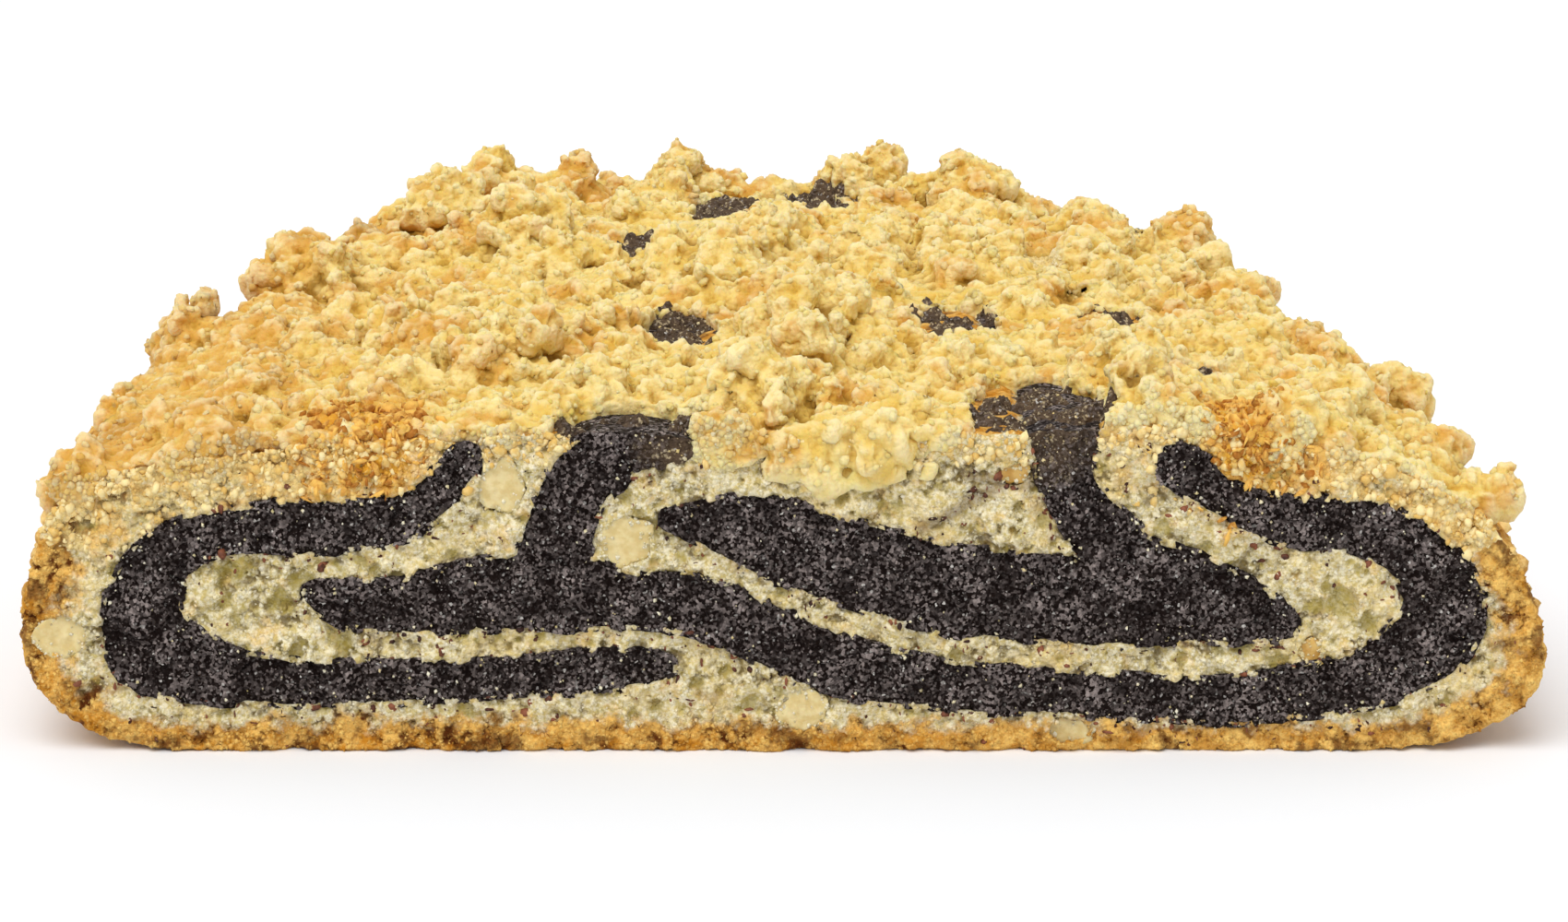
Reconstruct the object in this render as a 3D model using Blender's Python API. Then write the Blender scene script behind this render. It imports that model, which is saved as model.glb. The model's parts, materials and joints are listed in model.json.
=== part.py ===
"""Half a poppy seed stollen: a flat, rolled sweet loaf cut across, under a crust of streusel.

The loaf lies on its flat base. The cut face looks towards -Y, the rounded end towards +Y, and the
origin is on the underside, halfway along. Every shape is drawn once, in the plane of the cut, and
carried along the loaf by the same two tapers, so what nests at the cut nests all the way in.
"""

import math
import random

import bmesh
import bpy
from mathutils import Vector, noise

# Driving dimensions, in metres
LOAF_WIDTH = 0.165
LOAF_LENGTH = 0.150
CROWN_HEIGHT = 0.0348
BASE_HALF_WIDTH = 0.066
HALF_WIDTH = LOAF_WIDTH / 2
GAP = 0.0003
CHANNEL_GAP = 0.00045
FILLING_LENGTH = 0.124
FRONT = -LOAF_LENGTH / 2

# How the loaf narrows and falls away towards its rounded end, measured from the cut
NARROWS_FROM = 0.026
NARROWING_POWER = 1.5
NARROWING_ROUNDNESS = 0.50
BEND = -0.0028
BENDS_OVER = 0.100
FALLS_FROM = 0.100
FALL_POWER = 2.6
END_HEIGHT = 0.013
BODY_STATIONS = [0.0, 0.022, 0.042, 0.058, 0.073, 0.087]
END_STATIONS = 7

# The crust of streusel
CRUST_THICKNESS = 0.0024
CRUST_ROUGHNESS = 0.0009
CRUST_ROUGHNESS_SCALE = 330
CRUST_ROOT = 0.0012
CRUST_COLUMNS = 34
CRUST_ROWS = 27
CRUST_JITTER = 0.28
CRUST_END = 0.1475
ROW_CROWDING = 0.9
RIM_SHARE = 0.35
RIM_RISE = 5

# The streusel's apron, which hangs over the top of the cut, most in the middle
FRONT_EDGE_WAVE = 0.0007
APRON_OVERHANG = 0.0016
APRON_DROP = 0.0034
APRON_MIDDLE = 0.0075
APRON_SPREAD = 0.0085

# The lumps
LUMP_SEED = 41
LUMP_JITTER = 0.15
LUMP_STRETCH = (0.88, 1.16)
LUMP_REACH = 0.079
LUMP_MARGIN = 0.002
LUMP_SPACING = 0.70
SMALL_LUMPS = 210
SMALL_LUMP_RADII = (0.0032, 0.0048)
BIG_LUMPS = 26
BIG_LUMP_RADII = (0.0050, 0.0068)
LUMP_TRIES = 6000
LUMP_RISE = 0.42
LUMP_ROUNDNESS = 0.85

# Smooth outlines
SAMPLES_PER_SPAN = 2
CROWN_SAMPLES_PER_SPAN = 4
TIP_STEPS = 3

# Outline of the dough at the cut, from the base's left end over the top to its right end: x, z
DOUGH_OUTLINE = [
    (-BASE_HALF_WIDTH, 0.0),
    (-0.0740, 0.0015),
    (-0.0790, 0.0046),
    (-0.0820, 0.0090),
    (-HALF_WIDTH, 0.0135),
    (-0.0817, 0.0195),
    (-0.0800, 0.0245),
    (-0.0757, 0.0285),
    (-0.0680, 0.0312),
    (-0.0560, 0.0328),
    (-0.0400, 0.0340),
    (-0.0200, CROWN_HEIGHT),
    (0.0020, 0.0343),
    (0.0240, CROWN_HEIGHT),
    (0.0430, 0.0352),
    (0.0560, 0.0334),
    (0.0665, 0.0303),
    (0.0740, 0.0266),
    (0.0788, 0.0222),
    (0.0812, 0.0165),
    (HALF_WIDTH, 0.0110),
    (0.0815, 0.0066),
    (0.0780, 0.0032),
    (0.0720, 0.0010),
    (BASE_HALF_WIDTH - 0.002, 0.0),
]
SHOULDERS = (7, 17)

# Poppy seed filling at the cut, as rolled sheets: x, z and half the thickness along each sheet
LEFT_COIL = [
    (-0.0343, 0.0328, 0.0012),
    (-0.0366, 0.0298, 0.0016),
    (-0.0408, 0.0265, 0.0019),
    (-0.0468, 0.0255, 0.0022),
    (-0.0527, 0.0253, 0.0024),
    (-0.0587, 0.0251, 0.0018),
    (-0.0637, 0.0238, 0.0019),
    (-0.0675, 0.0210, 0.0028),
    (-0.0694, 0.0166, 0.0034),
    (-0.0686, 0.0121, 0.0045),
    (-0.0642, 0.0098, 0.0034),
    (-0.0587, 0.0083, 0.0024),
    (-0.0517, 0.0078, 0.0018),
    (-0.0428, 0.0078, 0.0018),
    (-0.0338, 0.0082, 0.0016),
    (-0.0248, 0.0087, 0.0017),
    (-0.0168, 0.0094, 0.0014),
    (-0.0131, 0.0095, 0.0008),
]
LONG_FOLD = [
    (-0.0509, 0.0176, 0.0008),
    (-0.0473, 0.0167, 0.0020),
    (-0.0418, 0.0164, 0.0024),
    (-0.0348, 0.0174, 0.0032),
    (-0.0288, 0.0181, 0.0038),
    (-0.0228, 0.0180, 0.0036),
    (-0.0169, 0.0172, 0.0026),
    (-0.0109, 0.0168, 0.0025),
    (-0.0059, 0.0153, 0.0027),
    (-0.0019, 0.0134, 0.0029),
    (0.0026, 0.0111, 0.0029),
    (0.0081, 0.0093, 0.0026),
    (0.0151, 0.0078, 0.0022),
    (0.0230, 0.0069, 0.0020),
    (0.0320, 0.0065, 0.0019),
    (0.0410, 0.0060, 0.0018),
    (0.0495, 0.0059, 0.0021),
    (0.0574, 0.0068, 0.0023),
    (0.0644, 0.0087, 0.0030),
    (0.0697, 0.0120, 0.0039),
    (0.0718, 0.0161, 0.0035),
    (0.0703, 0.0200, 0.0031),
    (0.0667, 0.0234, 0.0027),
    (0.0609, 0.0256, 0.0023),
    (0.0539, 0.0262, 0.0021),
    (0.0490, 0.0277, 0.0016),
    (0.0452, 0.0303, 0.0017),
    (0.0420, 0.0326, 0.0017),
]
LONG_FOLD_RISER = [
    (-0.0248, 0.0198, 0.0038),
    (-0.0242, 0.0250, 0.0031),
    (-0.0230, 0.0286, 0.0029),
    (-0.0208, 0.0315, 0.0029),
    (-0.0168, 0.0338, 0.0022),
    (-0.0114, 0.0350, 0.0016),
]
RIGHT_FOLD = [
    (-0.0121, 0.0263, 0.0006),
    (-0.0084, 0.0256, 0.0017),
    (-0.0049, 0.0252, 0.0032),
    (-0.0004, 0.0239, 0.0040),
    (0.0056, 0.0217, 0.0040),
    (0.0116, 0.0201, 0.0042),
    (0.0185, 0.0182, 0.0043),
    (0.0260, 0.0174, 0.0043),
    (0.0330, 0.0170, 0.0045),
    (0.0390, 0.0180, 0.0051),
    (0.0445, 0.0172, 0.0043),
    (0.0500, 0.0157, 0.0028),
    (0.0541, 0.0145, 0.0014),
]
RIGHT_FOLD_RISER = [
    (0.0365, 0.0213, 0.0036),
    (0.0335, 0.0257, 0.0028),
    (0.0310, 0.0294, 0.0023),
    (0.0302, 0.0328, 0.0027),
    (0.0300, 0.0362, 0.0034),
]
FILLING_STATIONS = (-0.004, 0.040, 0.075, 0.100, FILLING_LENGTH)

# Chopped nuts and candied peel that the knife went through: name, x, z, half width, half height
BITS = [
    ("almond_piece_1", -0.0780, 0.0130, 0.0021, 0.0017),
    ("almond_piece_2", -0.0303, 0.0297, 0.0021, 0.0022),
    ("almond_piece_3", -0.0168, 0.0237, 0.0021, 0.0024),
    ("almond_piece_4", 0.0021, 0.0046, 0.0021, 0.0018),
    ("almond_piece_5", 0.0310, 0.0024, 0.0017, 0.0010),
    ("peel_piece_1", 0.0569, 0.0114, 0.0009, 0.0011),
    ("peel_piece_2", 0.0249, 0.0312, 0.0010, 0.0009),
]
BIT_DEPTH = 0.0022
BIT_ROUGHNESS = 0.16
BIT_ROUGHNESS_SCALE = 1.7

# Places with no streusel, where filling and dough show: x, distance from the cut, half sizes
BARE_SPOTS = [
    (-0.0165, 0.0010, 0.0080, 0.0070),
    (0.0275, 0.0070, 0.0070, 0.0140),
    (-0.0120, 0.0450, 0.0040, 0.0070),
    (0.0195, 0.0490, 0.0050, 0.0090),
    (0.0460, 0.0250, 0.0032, 0.0045),
    (0.0380, 0.0500, 0.0035, 0.0050),
    (-0.0170, 0.0860, 0.0032, 0.0050),
    (-0.0080, 0.1150, 0.0045, 0.0080),
    (0.0040, 0.1200, 0.0035, 0.0050),
]
BARE_SPOT_SIDES = 10
BARE_SPOT_FLARE = (0.8, 1.35)
BARE_SPOT_DEPTH = 0.030

# Large lumps that give the crown its outline: x, distance from the cut, radius
LANDMARK_LUMPS = [
    (-0.0440, 0.1080, 0.0068),
    (-0.0365, 0.1170, 0.0068),
    (-0.0285, 0.1250, 0.0066),
    (-0.0135, 0.1300, 0.0060),
    (0.0105, 0.1270, 0.0066),
    (0.0240, 0.1160, 0.0056),
    (0.0440, 0.0920, 0.0062),
    (0.0690, 0.0360, 0.0034),
    (0.0038, 0.0370, 0.0085),
    (0.0030, 0.0240, 0.0070),
    (-0.0110, 0.0720, 0.0068),
    (-0.0030, 0.0085, 0.0066),
    (0.0095, 0.0050, 0.0058),
    (0.0380, 0.0060, 0.0056),
    (-0.0310, 0.0280, 0.0075),
    (-0.0560, 0.0760, 0.0075),
    (-0.0680, 0.0600, 0.0058),
    (-0.0330, 0.0880, 0.0080),
    (-0.0781, 0.0030, 0.0034),
    (0.0765, 0.0040, 0.0036),
]

DOUGH_LOOKS = {"colour": (0.72, 0.56, 0.27), "roughness": 0.85}
FILLING_LOOKS = {"colour": (0.020, 0.018, 0.024), "roughness": 0.70}
STREUSEL_LOOKS = {"colour": (0.86, 0.62, 0.24), "roughness": 0.80}
ALMOND_LOOKS = {"colour": (0.78, 0.62, 0.33), "roughness": 0.55}
PEEL_LOOKS = {"colour": (0.80, 0.38, 0.05), "roughness": 0.40}


# Drawing in the plane of the cut

def smooth(points, samples=SAMPLES_PER_SPAN):
    """Points on a smooth curve through the given ones, which may have two or three values each."""
    padded = [points[0], *points, points[-1]]
    curve = []
    for before, start, end, after in zip(padded, padded[1:], padded[2:], padded[3:]):
        for step in range(samples):
            t = step / samples
            curve.append(
                tuple(
                    0.5 * (2 * b + (c - a) * t + (2 * a - 5 * b + 4 * c - d) * t**2
                           + (3 * b - a - 3 * c + d) * t**3)
                    for a, b, c, d in zip(before, start, end, after)
                )
            )
    curve.append(points[-1])
    return curve


def sheet_outline(sheet, gap=0.0):
    """Outline of a rolled sheet: its centreline thickened on both sides, with round ends."""
    line = smooth(sheet)
    ends = list(zip([line[0], *line], [*line[1:], line[-1]]))
    headings = [math.atan2(b[1] - a[1], b[0] - a[0]) for a, b in ends]

    def offset(index, angle):
        x, z, half = line[index]
        turned = headings[index] + angle
        return x + (half + gap) * math.cos(turned), z + (half + gap) * math.sin(turned)

    quarter = math.pi / 2
    last = len(line) - 1
    left = [offset(i, quarter) for i in range(last + 1)]
    tip = [offset(last, quarter - math.pi * s / TIP_STEPS) for s in range(1, TIP_STEPS)]
    right = [offset(i, -quarter) for i in range(last, -1, -1)]
    tail = [offset(0, -quarter - math.pi * s / TIP_STEPS) for s in range(1, TIP_STEPS)]

    def outside(point):
        return all(math.dist(point, (x, z)) > half + gap - GAP / 4 for x, z, half in line)

    return [point for point in left + tip + right + tail if outside(point)]


# Along the loaf

def width_share(depth):
    """The loaf's width this far behind the cut, as a share of its width there."""
    t = min(1.0, max(0.0, (depth - NARROWS_FROM) / (LOAF_LENGTH - NARROWS_FROM)))
    return (1 - t**NARROWING_POWER) ** NARROWING_ROUNDNESS


def height_share(depth):
    """The loaf's height this far behind the cut, as a share of its height there."""
    t = min(1.0, max(0.0, (depth - FALLS_FROM) / (LOAF_LENGTH - FALLS_FROM)))
    return (1 - t**FALL_POWER) ** (1 / FALL_POWER)


def bend(depth):
    """How far the loaf has drifted sideways this far behind the cut."""
    t = min(1.0, max(0.0, depth / BENDS_OVER))
    return BEND * t * t * (3 - 2 * t)


def place(x, z, depth):
    """The point of the loaf that a point of the cut becomes this far behind it."""
    height = END_HEIGHT + (z - END_HEIGHT) * height_share(depth)
    return Vector((x * width_share(depth) + bend(depth), FRONT + depth, height))


def loaf_stations():
    """Distances from the cut, closer together where the loaf rounds off."""
    reach = LOAF_LENGTH - FALLS_FROM
    return BODY_STATIONS + [
        FALLS_FROM + reach * math.sin(math.pi / 2 * turn / END_STATIONS) for turn in range(END_STATIONS)
    ]


# Meshes and objects

def new_object(name, mesh_data, looks=None):
    """An object in the scene, with faces pointing out and a material of its own."""
    bmesh.ops.recalc_face_normals(mesh_data, faces=mesh_data.faces)
    mesh = bpy.data.meshes.new(name)
    mesh_data.to_mesh(mesh)
    mesh_data.free()
    made = bpy.data.objects.new(name, mesh)
    bpy.context.scene.collection.objects.link(made)
    if looks:
        mesh.materials.append(new_material(name, looks))
    return made


def new_material(name, looks):
    """A Principled material with the piece's colour and roughness."""
    material = bpy.data.materials.new(name)
    material.use_nodes = True
    shader = material.node_tree.nodes["Principled BSDF"]
    shader.inputs["Base Color"].default_value = (*looks["colour"], 1.0)
    shader.inputs["Roughness"].default_value = looks["roughness"]
    shader.inputs["Metallic"].default_value = 0.0
    return material


def helper(made):
    """Marks a cutter or guide, which is not part of the loaf."""
    made.hide_render = True
    made.display_type = "WIRE"
    return made


def loft(outline, stations, closes=False):
    """A solid with the outline at each station; if it closes, it ends at the loaf's rear point."""
    solid = bmesh.new()
    rings = [[solid.verts.new(place(x, z, depth)) for x, z in outline] for depth in stations]
    for front, back in zip(rings, rings[1:]):
        for (a, b), (c, d) in zip(zip(front, front[1:] + front[:1]), zip(back, back[1:] + back[:1])):
            solid.faces.new((a, b, d, c))
    solid.faces.new(rings[0])
    if closes:
        point = solid.verts.new(place(0.0, END_HEIGHT, LOAF_LENGTH))
        for a, b in zip(rings[-1], rings[-1][1:] + rings[-1][:1]):
            solid.faces.new((a, b, point))
    else:
        solid.faces.new(rings[-1])
    return solid


def add_boolean(made, operation, other):
    """A Boolean with an object or with a collection of them."""
    boolean = made.modifiers.new(operation.lower(), "BOOLEAN")
    boolean.operation = operation
    boolean.solver = "EXACT"
    if isinstance(other, bpy.types.Collection):
        boolean.operand_type = "COLLECTION"
        boolean.collection = other
    else:
        boolean.object = other
    return boolean


def apply_modifiers(made):
    """Turns the object's evaluated shape into its own mesh."""
    graph = bpy.context.evaluated_depsgraph_get()
    mesh = bpy.data.meshes.new_from_object(made.evaluated_get(graph))
    made.modifiers.clear()
    made.data = mesh


# Dough and filling

def envelope(name, grow=0.0):
    """The whole loaf without its streusel, as a helper, grown outwards where asked."""
    solid = loft(smooth(DOUGH_OUTLINE), loaf_stations(), closes=True)
    bmesh.ops.recalc_face_normals(solid, faces=solid.faces)
    solid.normal_update()
    moves = [vert.normal * grow for vert in solid.verts]
    for vert, move in zip(solid.verts, moves):
        vert.co += move
    return helper(new_object(name, solid))


def make_filling(name, loaf, sheet, riser=None):
    """One run of poppy seed filling, trimmed by the cut and by the top of the loaf."""
    made = new_object(name, loft(sheet_outline(sheet), FILLING_STATIONS), FILLING_LOOKS)
    if riser:
        rising = helper(new_object(name + "_riser", loft(sheet_outline(riser), FILLING_STATIONS)))
        add_boolean(made, "UNION", rising)
    add_boolean(made, "INTERSECT", loaf)
    return made


def bit_solid(x, z, half_width, half_height, gap=0.0):
    """A rough oval chip centred on the cut."""
    solid = bmesh.new()
    bmesh.ops.create_icosphere(solid, subdivisions=2, radius=1.0)
    for vert in solid.verts:
        own = Vector((x, 0, z)) / GAP
        vert.co *= 1 + BIT_ROUGHNESS * noise.noise(vert.co * BIT_ROUGHNESS_SCALE + own)
        vert.co.x = x + vert.co.x * (half_width + gap)
        vert.co.y = FRONT + vert.co.y * (BIT_DEPTH + gap)
        vert.co.z = z + vert.co.z * (half_height + gap)
    return solid


def make_bits(loaf, cutters):
    """The chopped almonds and candied peel, each in its own pocket of the dough."""
    for name, x, z, half_width, half_height in BITS:
        looks = PEEL_LOOKS if name.startswith("peel") else ALMOND_LOOKS
        made = new_object(name, bit_solid(x, z, half_width, half_height), looks)
        add_boolean(made, "INTERSECT", loaf)
        pocket = new_object(name + "_pocket", bit_solid(x, z, half_width, half_height, CHANNEL_GAP))
        move_to(helper(pocket), cutters)


def move_to(made, collection):
    """Moves an object from the scene's own collection to another."""
    bpy.context.scene.collection.objects.unlink(made)
    collection.objects.link(made)


def make_dough(cutters):
    """The dough: the whole loaf, less a channel round each run of filling."""
    made = new_object("sweet_dough", loft(smooth(DOUGH_OUTLINE), loaf_stations(), closes=True), DOUGH_LOOKS)
    for name, sheet in (
        ("left_channel", LEFT_COIL),
        ("long_channel", LONG_FOLD),
        ("long_riser_channel", LONG_FOLD_RISER),
        ("right_channel", RIGHT_FOLD),
        ("right_riser_channel", RIGHT_FOLD_RISER),
    ):
        stations = (*FILLING_STATIONS[:-1], FILLING_LENGTH + CHANNEL_GAP)
        channel = new_object(name, loft(sheet_outline(sheet, CHANNEL_GAP), stations))
        move_to(helper(channel), cutters)
    add_boolean(made, "DIFFERENCE", cutters)
    return made


# Streusel

def crown_point(share, depth):
    """A point of the loaf's top, from its left shoulder at share 0 to its right at share 1."""
    first, last = SHOULDERS
    arc = smooth(DOUGH_OUTLINE[first : last + 1], CROWN_SAMPLES_PER_SPAN)
    at = share * (len(arc) - 1)
    low = min(int(at), len(arc) - 2)
    (x0, z0), (x1, z1) = arc[low], arc[low + 1]
    part = at - low
    return place(x0 + (x1 - x0) * part, z0 + (z1 - z0) * part, depth)


def crown_normal(share, depth):
    """The outward direction of the loaf's top at such a point."""
    step = 0.004
    near, far = max(0.0, share - step), min(1.0, share + step)
    across = crown_point(far, depth) - crown_point(near, depth)
    along = crown_point(share, depth + step / 4) - crown_point(share, depth - step / 4)
    return across.cross(along).normalized()


def crown_at(x, depth):
    """The share at which the loaf's top has this x, found by halving."""
    low, high = 0.0, 1.0
    for _ in range(24):
        middle = (low + high) / 2
        if crown_point(middle, depth).x < x:
            low = middle
        else:
            high = middle
    return low


def crust_height(x, depth, lumps):
    """Thickness of the crust at a point of the crown, raised wherever a lump lies."""
    here = Vector((x, depth, 0))
    height = CRUST_THICKNESS + CRUST_ROUGHNESS * noise.noise(here * CRUST_ROUGHNESS_SCALE)
    for lump_x, lump_depth, radius in lumps:
        inside = radius**2 - (x - lump_x) ** 2 - (depth - lump_depth) ** 2
        if inside > 0:
            height = max(height, LUMP_RISE * radius + math.sqrt(inside) * LUMP_ROUNDNESS)
    return height


def apron_share(x):
    """How much of the apron there is at this x: all of it in the middle, none at the sides."""
    return math.exp(-(((x - APRON_MIDDLE) / APRON_SPREAD) ** 2))


def crust_rows(lumps, draw):
    """The crust's outer and inner points, row by row from the cut to the rounded end."""
    outer, inner = [], []
    for row in range(CRUST_ROWS + 1):
        outer_row, inner_row = [], []
        for column in range(CRUST_COLUMNS + 1):
            inward = 0 < row < CRUST_ROWS and 0 < column < CRUST_COLUMNS
            shift = CRUST_JITTER if inward else 0.0
            share = (column + draw.uniform(-shift, shift)) / CRUST_COLUMNS
            turn = (row + draw.uniform(-shift, shift)) / CRUST_ROWS
            depth = CRUST_END * math.sin(math.pi / 2 * turn) ** ROW_CROWDING
            apron = apron_share(crown_point(share, 0.0).x) if row == 0 else 0.0
            if row == 0:
                depth = draw.uniform(-FRONT_EDGE_WAVE, FRONT_EDGE_WAVE) - APRON_OVERHANG * apron
            base = crown_point(share, depth)
            out = crown_normal(share, depth)
            rim = min(1.0, RIM_SHARE + RIM_RISE * min(share, 1 - share))
            outer_row.append(base + out * (crust_height(base.x, max(0.0, depth), lumps) * rim))
            inner_row.append(base - out * (CRUST_ROOT + APRON_DROP * apron))
        outer.append(outer_row)
        inner.append(inner_row)
    return outer, inner


def rim_of(rows):
    """The points along the four edges of a grid of rows, in order."""
    right = [row[-1] for row in rows[1:]]
    left = [row[0] for row in rows[-2:0:-1]]
    return rows[0] + right + rows[-1][-2::-1] + left


def crust_solid(lumps, draw):
    """The uneven layer of streusel that covers the top of the dough."""
    solid = bmesh.new()
    sheets = [
        [[solid.verts.new(point) for point in row] for row in sheet]
        for sheet in crust_rows(lumps, draw)
    ]
    for sheet in sheets:
        for near, far in zip(sheet, sheet[1:]):
            for a, b, c, d in zip(near, near[1:], far[1:], far):
                solid.faces.new((a, b, c, d))
    rim_out, rim_in = (rim_of(sheet) for sheet in sheets)
    for a, b, c, d in zip(rim_out, rim_out[1:] + rim_out[:1], rim_in[1:] + rim_in[:1], rim_in):
        solid.faces.new((a, b, c, d))
    return solid


def lump_solid(centre, radius, draw):
    """A rough crumb of streusel that stands out of the crust."""
    solid = bmesh.new()
    bmesh.ops.create_icosphere(solid, subdivisions=2, radius=radius)
    stretch = Vector(draw.uniform(*LUMP_STRETCH) for _ in range(3))
    for vert in solid.verts:
        vert.co *= 1 + draw.uniform(-LUMP_JITTER, LUMP_JITTER)
        vert.co = centre + vert.co * stretch
    return solid


def in_bare_spot(x, depth, margin):
    """Whether a point of the crown is within a bare spot, or within a margin of one."""
    return any(
        ((x - spot_x) / (half_x + margin)) ** 2 + ((depth - spot_depth) / (half_y + margin)) ** 2 < 1
        for spot_x, spot_depth, half_x, half_y in BARE_SPOTS
    )


def lump_places(draw):
    """Where the lumps lie: the landmarks first, then random ones in the room that is left."""
    found = list(LANDMARK_LUMPS)
    for count, radii in ((BIG_LUMPS, BIG_LUMP_RADII), (SMALL_LUMPS, SMALL_LUMP_RADII)):
        wanted = len(found) + count
        for _ in range(LUMP_TRIES):
            depth = draw.uniform(LUMP_MARGIN, CRUST_END - LUMP_MARGIN)
            x = draw.uniform(-LUMP_REACH, LUMP_REACH) * width_share(depth)
            radius = draw.uniform(*radii)
            apart = all(
                math.dist((x, depth), other[:2]) > LUMP_SPACING * (radius + other[2])
                for other in found
            )
            if apart and not in_bare_spot(x, depth, radius):
                found.append((x, depth, radius))
            if len(found) == wanted:
                break
    return found


def bare_spot_cutter(x, depth, half_x, half_y):
    """An upright oval plug that clears a bare spot, wider at the top."""
    solid = bmesh.new()
    bmesh.ops.create_cone(
        solid,
        cap_ends=True,
        segments=BARE_SPOT_SIDES,
        radius1=BARE_SPOT_FLARE[0],
        radius2=BARE_SPOT_FLARE[1],
        depth=BARE_SPOT_DEPTH,
    )
    for vert in solid.verts:
        vert.co.x = x + vert.co.x * half_x
        vert.co.y = FRONT + depth + vert.co.y * half_y
        vert.co.z += CROWN_HEIGHT
    return solid


def drop_scraps(made):
    """Keeps the largest closed body of a mesh, and drops loose scraps and sealed hollows."""
    solid = bmesh.new()
    solid.from_mesh(made.data)
    bmesh.ops.triangulate(solid, faces=solid.faces)
    left, bodies = set(solid.verts), []
    while left:
        body, edge_of_body = set(), [left.pop()]
        while edge_of_body:
            vert = edge_of_body.pop()
            body.add(vert)
            near = {edge.other_vert(vert) for edge in vert.link_edges} & left
            left -= near
            edge_of_body.extend(near)
        bodies.append(body)
    keep = max(bodies, key=len)
    bmesh.ops.delete(solid, geom=[vert for vert in solid.verts if vert not in keep], context="VERTS")
    solid.to_mesh(made.data)
    solid.free()


def make_streusel(grown_loaf):
    """The streusel: a crust and its lumps as one solid, lying on the loaf."""
    draw = random.Random(LUMP_SEED)
    places = lump_places(draw)
    made = new_object("streusel_crown", crust_solid(places, draw), STREUSEL_LOOKS)
    lumps = bpy.data.collections.new("lumps")
    bpy.context.scene.collection.children.link(lumps)
    for number, (x, depth, radius) in enumerate(LANDMARK_LUMPS):
        share = crown_at(x, depth)
        centre = crown_point(share, depth) + crown_normal(share, depth) * (LUMP_RISE * radius + GAP)
        move_to(new_object(f"lump_{number}", lump_solid(centre, radius, draw)), lumps)
    add_boolean(made, "UNION", lumps)
    apply_modifiers(made)
    for crumb in list(lumps.objects):
        bpy.data.objects.remove(crumb)
    bpy.data.collections.remove(lumps)
    plugs = bpy.data.collections.new("bare_spots")
    bpy.context.scene.collection.children.link(plugs)
    for number, spot in enumerate(BARE_SPOTS):
        move_to(helper(new_object(f"bare_spot_{number}", bare_spot_cutter(*spot))), plugs)
    move_to(grown_loaf, plugs)
    add_boolean(made, "DIFFERENCE", plugs)
    apply_modifiers(made)
    drop_scraps(made)
    return made


def main():
    """Builds the loaf from an empty scene."""
    for old in list(bpy.data.objects):
        bpy.data.objects.remove(old)
    cutters = bpy.data.collections.new("channels")
    bpy.context.scene.collection.children.link(cutters)
    loaf = envelope("whole_loaf")
    make_dough(cutters)
    make_filling("poppy_left_coil", loaf, LEFT_COIL)
    make_filling("poppy_long_fold", loaf, LONG_FOLD, LONG_FOLD_RISER)
    make_filling("poppy_right_fold", loaf, RIGHT_FOLD, RIGHT_FOLD_RISER)
    make_bits(loaf, cutters)
    make_streusel(envelope("grown_loaf", GAP))


main()
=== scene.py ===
"""The looks of half a poppy seed stollen: its crumb, filling, streusel and studio.

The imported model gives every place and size. The dough, the three runs of filling and the chopped
bits are built again from their outlines at the cut, with a fine torn surface there, and are carried
along the loaf by the loaf's own tapers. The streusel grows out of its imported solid.
"""

import json
import logging
import math
from dataclasses import dataclass, field
from enum import Enum

import bmesh
import bpy
import numpy as np
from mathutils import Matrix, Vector, geometry, kdtree, noise
from mathutils.bvhtree import BVHTree

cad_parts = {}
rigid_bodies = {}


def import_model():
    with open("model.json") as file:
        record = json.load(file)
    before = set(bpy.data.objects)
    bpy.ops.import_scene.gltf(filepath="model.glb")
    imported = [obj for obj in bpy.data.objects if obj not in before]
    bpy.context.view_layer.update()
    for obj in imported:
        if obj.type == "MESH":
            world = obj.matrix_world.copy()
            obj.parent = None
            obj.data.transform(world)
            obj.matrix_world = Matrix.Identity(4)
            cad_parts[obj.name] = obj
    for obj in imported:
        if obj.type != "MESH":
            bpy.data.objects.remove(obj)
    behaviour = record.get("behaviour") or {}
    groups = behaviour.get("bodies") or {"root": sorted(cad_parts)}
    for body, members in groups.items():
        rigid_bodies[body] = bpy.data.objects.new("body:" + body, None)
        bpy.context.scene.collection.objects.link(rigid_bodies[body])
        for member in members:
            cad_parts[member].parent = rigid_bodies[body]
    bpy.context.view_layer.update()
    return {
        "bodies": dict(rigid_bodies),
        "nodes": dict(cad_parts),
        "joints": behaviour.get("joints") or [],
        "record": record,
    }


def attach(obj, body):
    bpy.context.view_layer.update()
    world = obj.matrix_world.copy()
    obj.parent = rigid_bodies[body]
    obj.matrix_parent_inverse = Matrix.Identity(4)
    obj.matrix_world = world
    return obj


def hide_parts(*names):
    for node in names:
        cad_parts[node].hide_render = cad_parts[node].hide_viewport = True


log = logging.getLogger("stollen")

BODY = "root"
PHOTO_WIDTH = 1700
MM = 0.001
NOISE_SEED = 7
ROUGH_OCTAVES = (0.8, 2.2, 3)
FULL_TURN = 6.28
ABOVE_ALL = 0.08
DOWN = Vector((0, 0, -1))

Colour = tuple[float, float, float]
Range = tuple[float, float, float, float]
Socket = bpy.types.NodeSocket
Object = bpy.types.Object
Mesh = bpy.types.Mesh
Material = bpy.types.Material


def mm(*sizes: float) -> tuple[float, ...]:
    """Sizes in metres, given in millimetres."""
    return tuple(size * MM for size in sizes)


class Slot(Enum):
    """The material slots that the record names."""

    DOUGH = "sweet_dough"
    FILLING = "poppy_filling"
    STREUSEL = "streusel"
    ALMOND = "almond"
    PEEL = "candied_peel"


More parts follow.
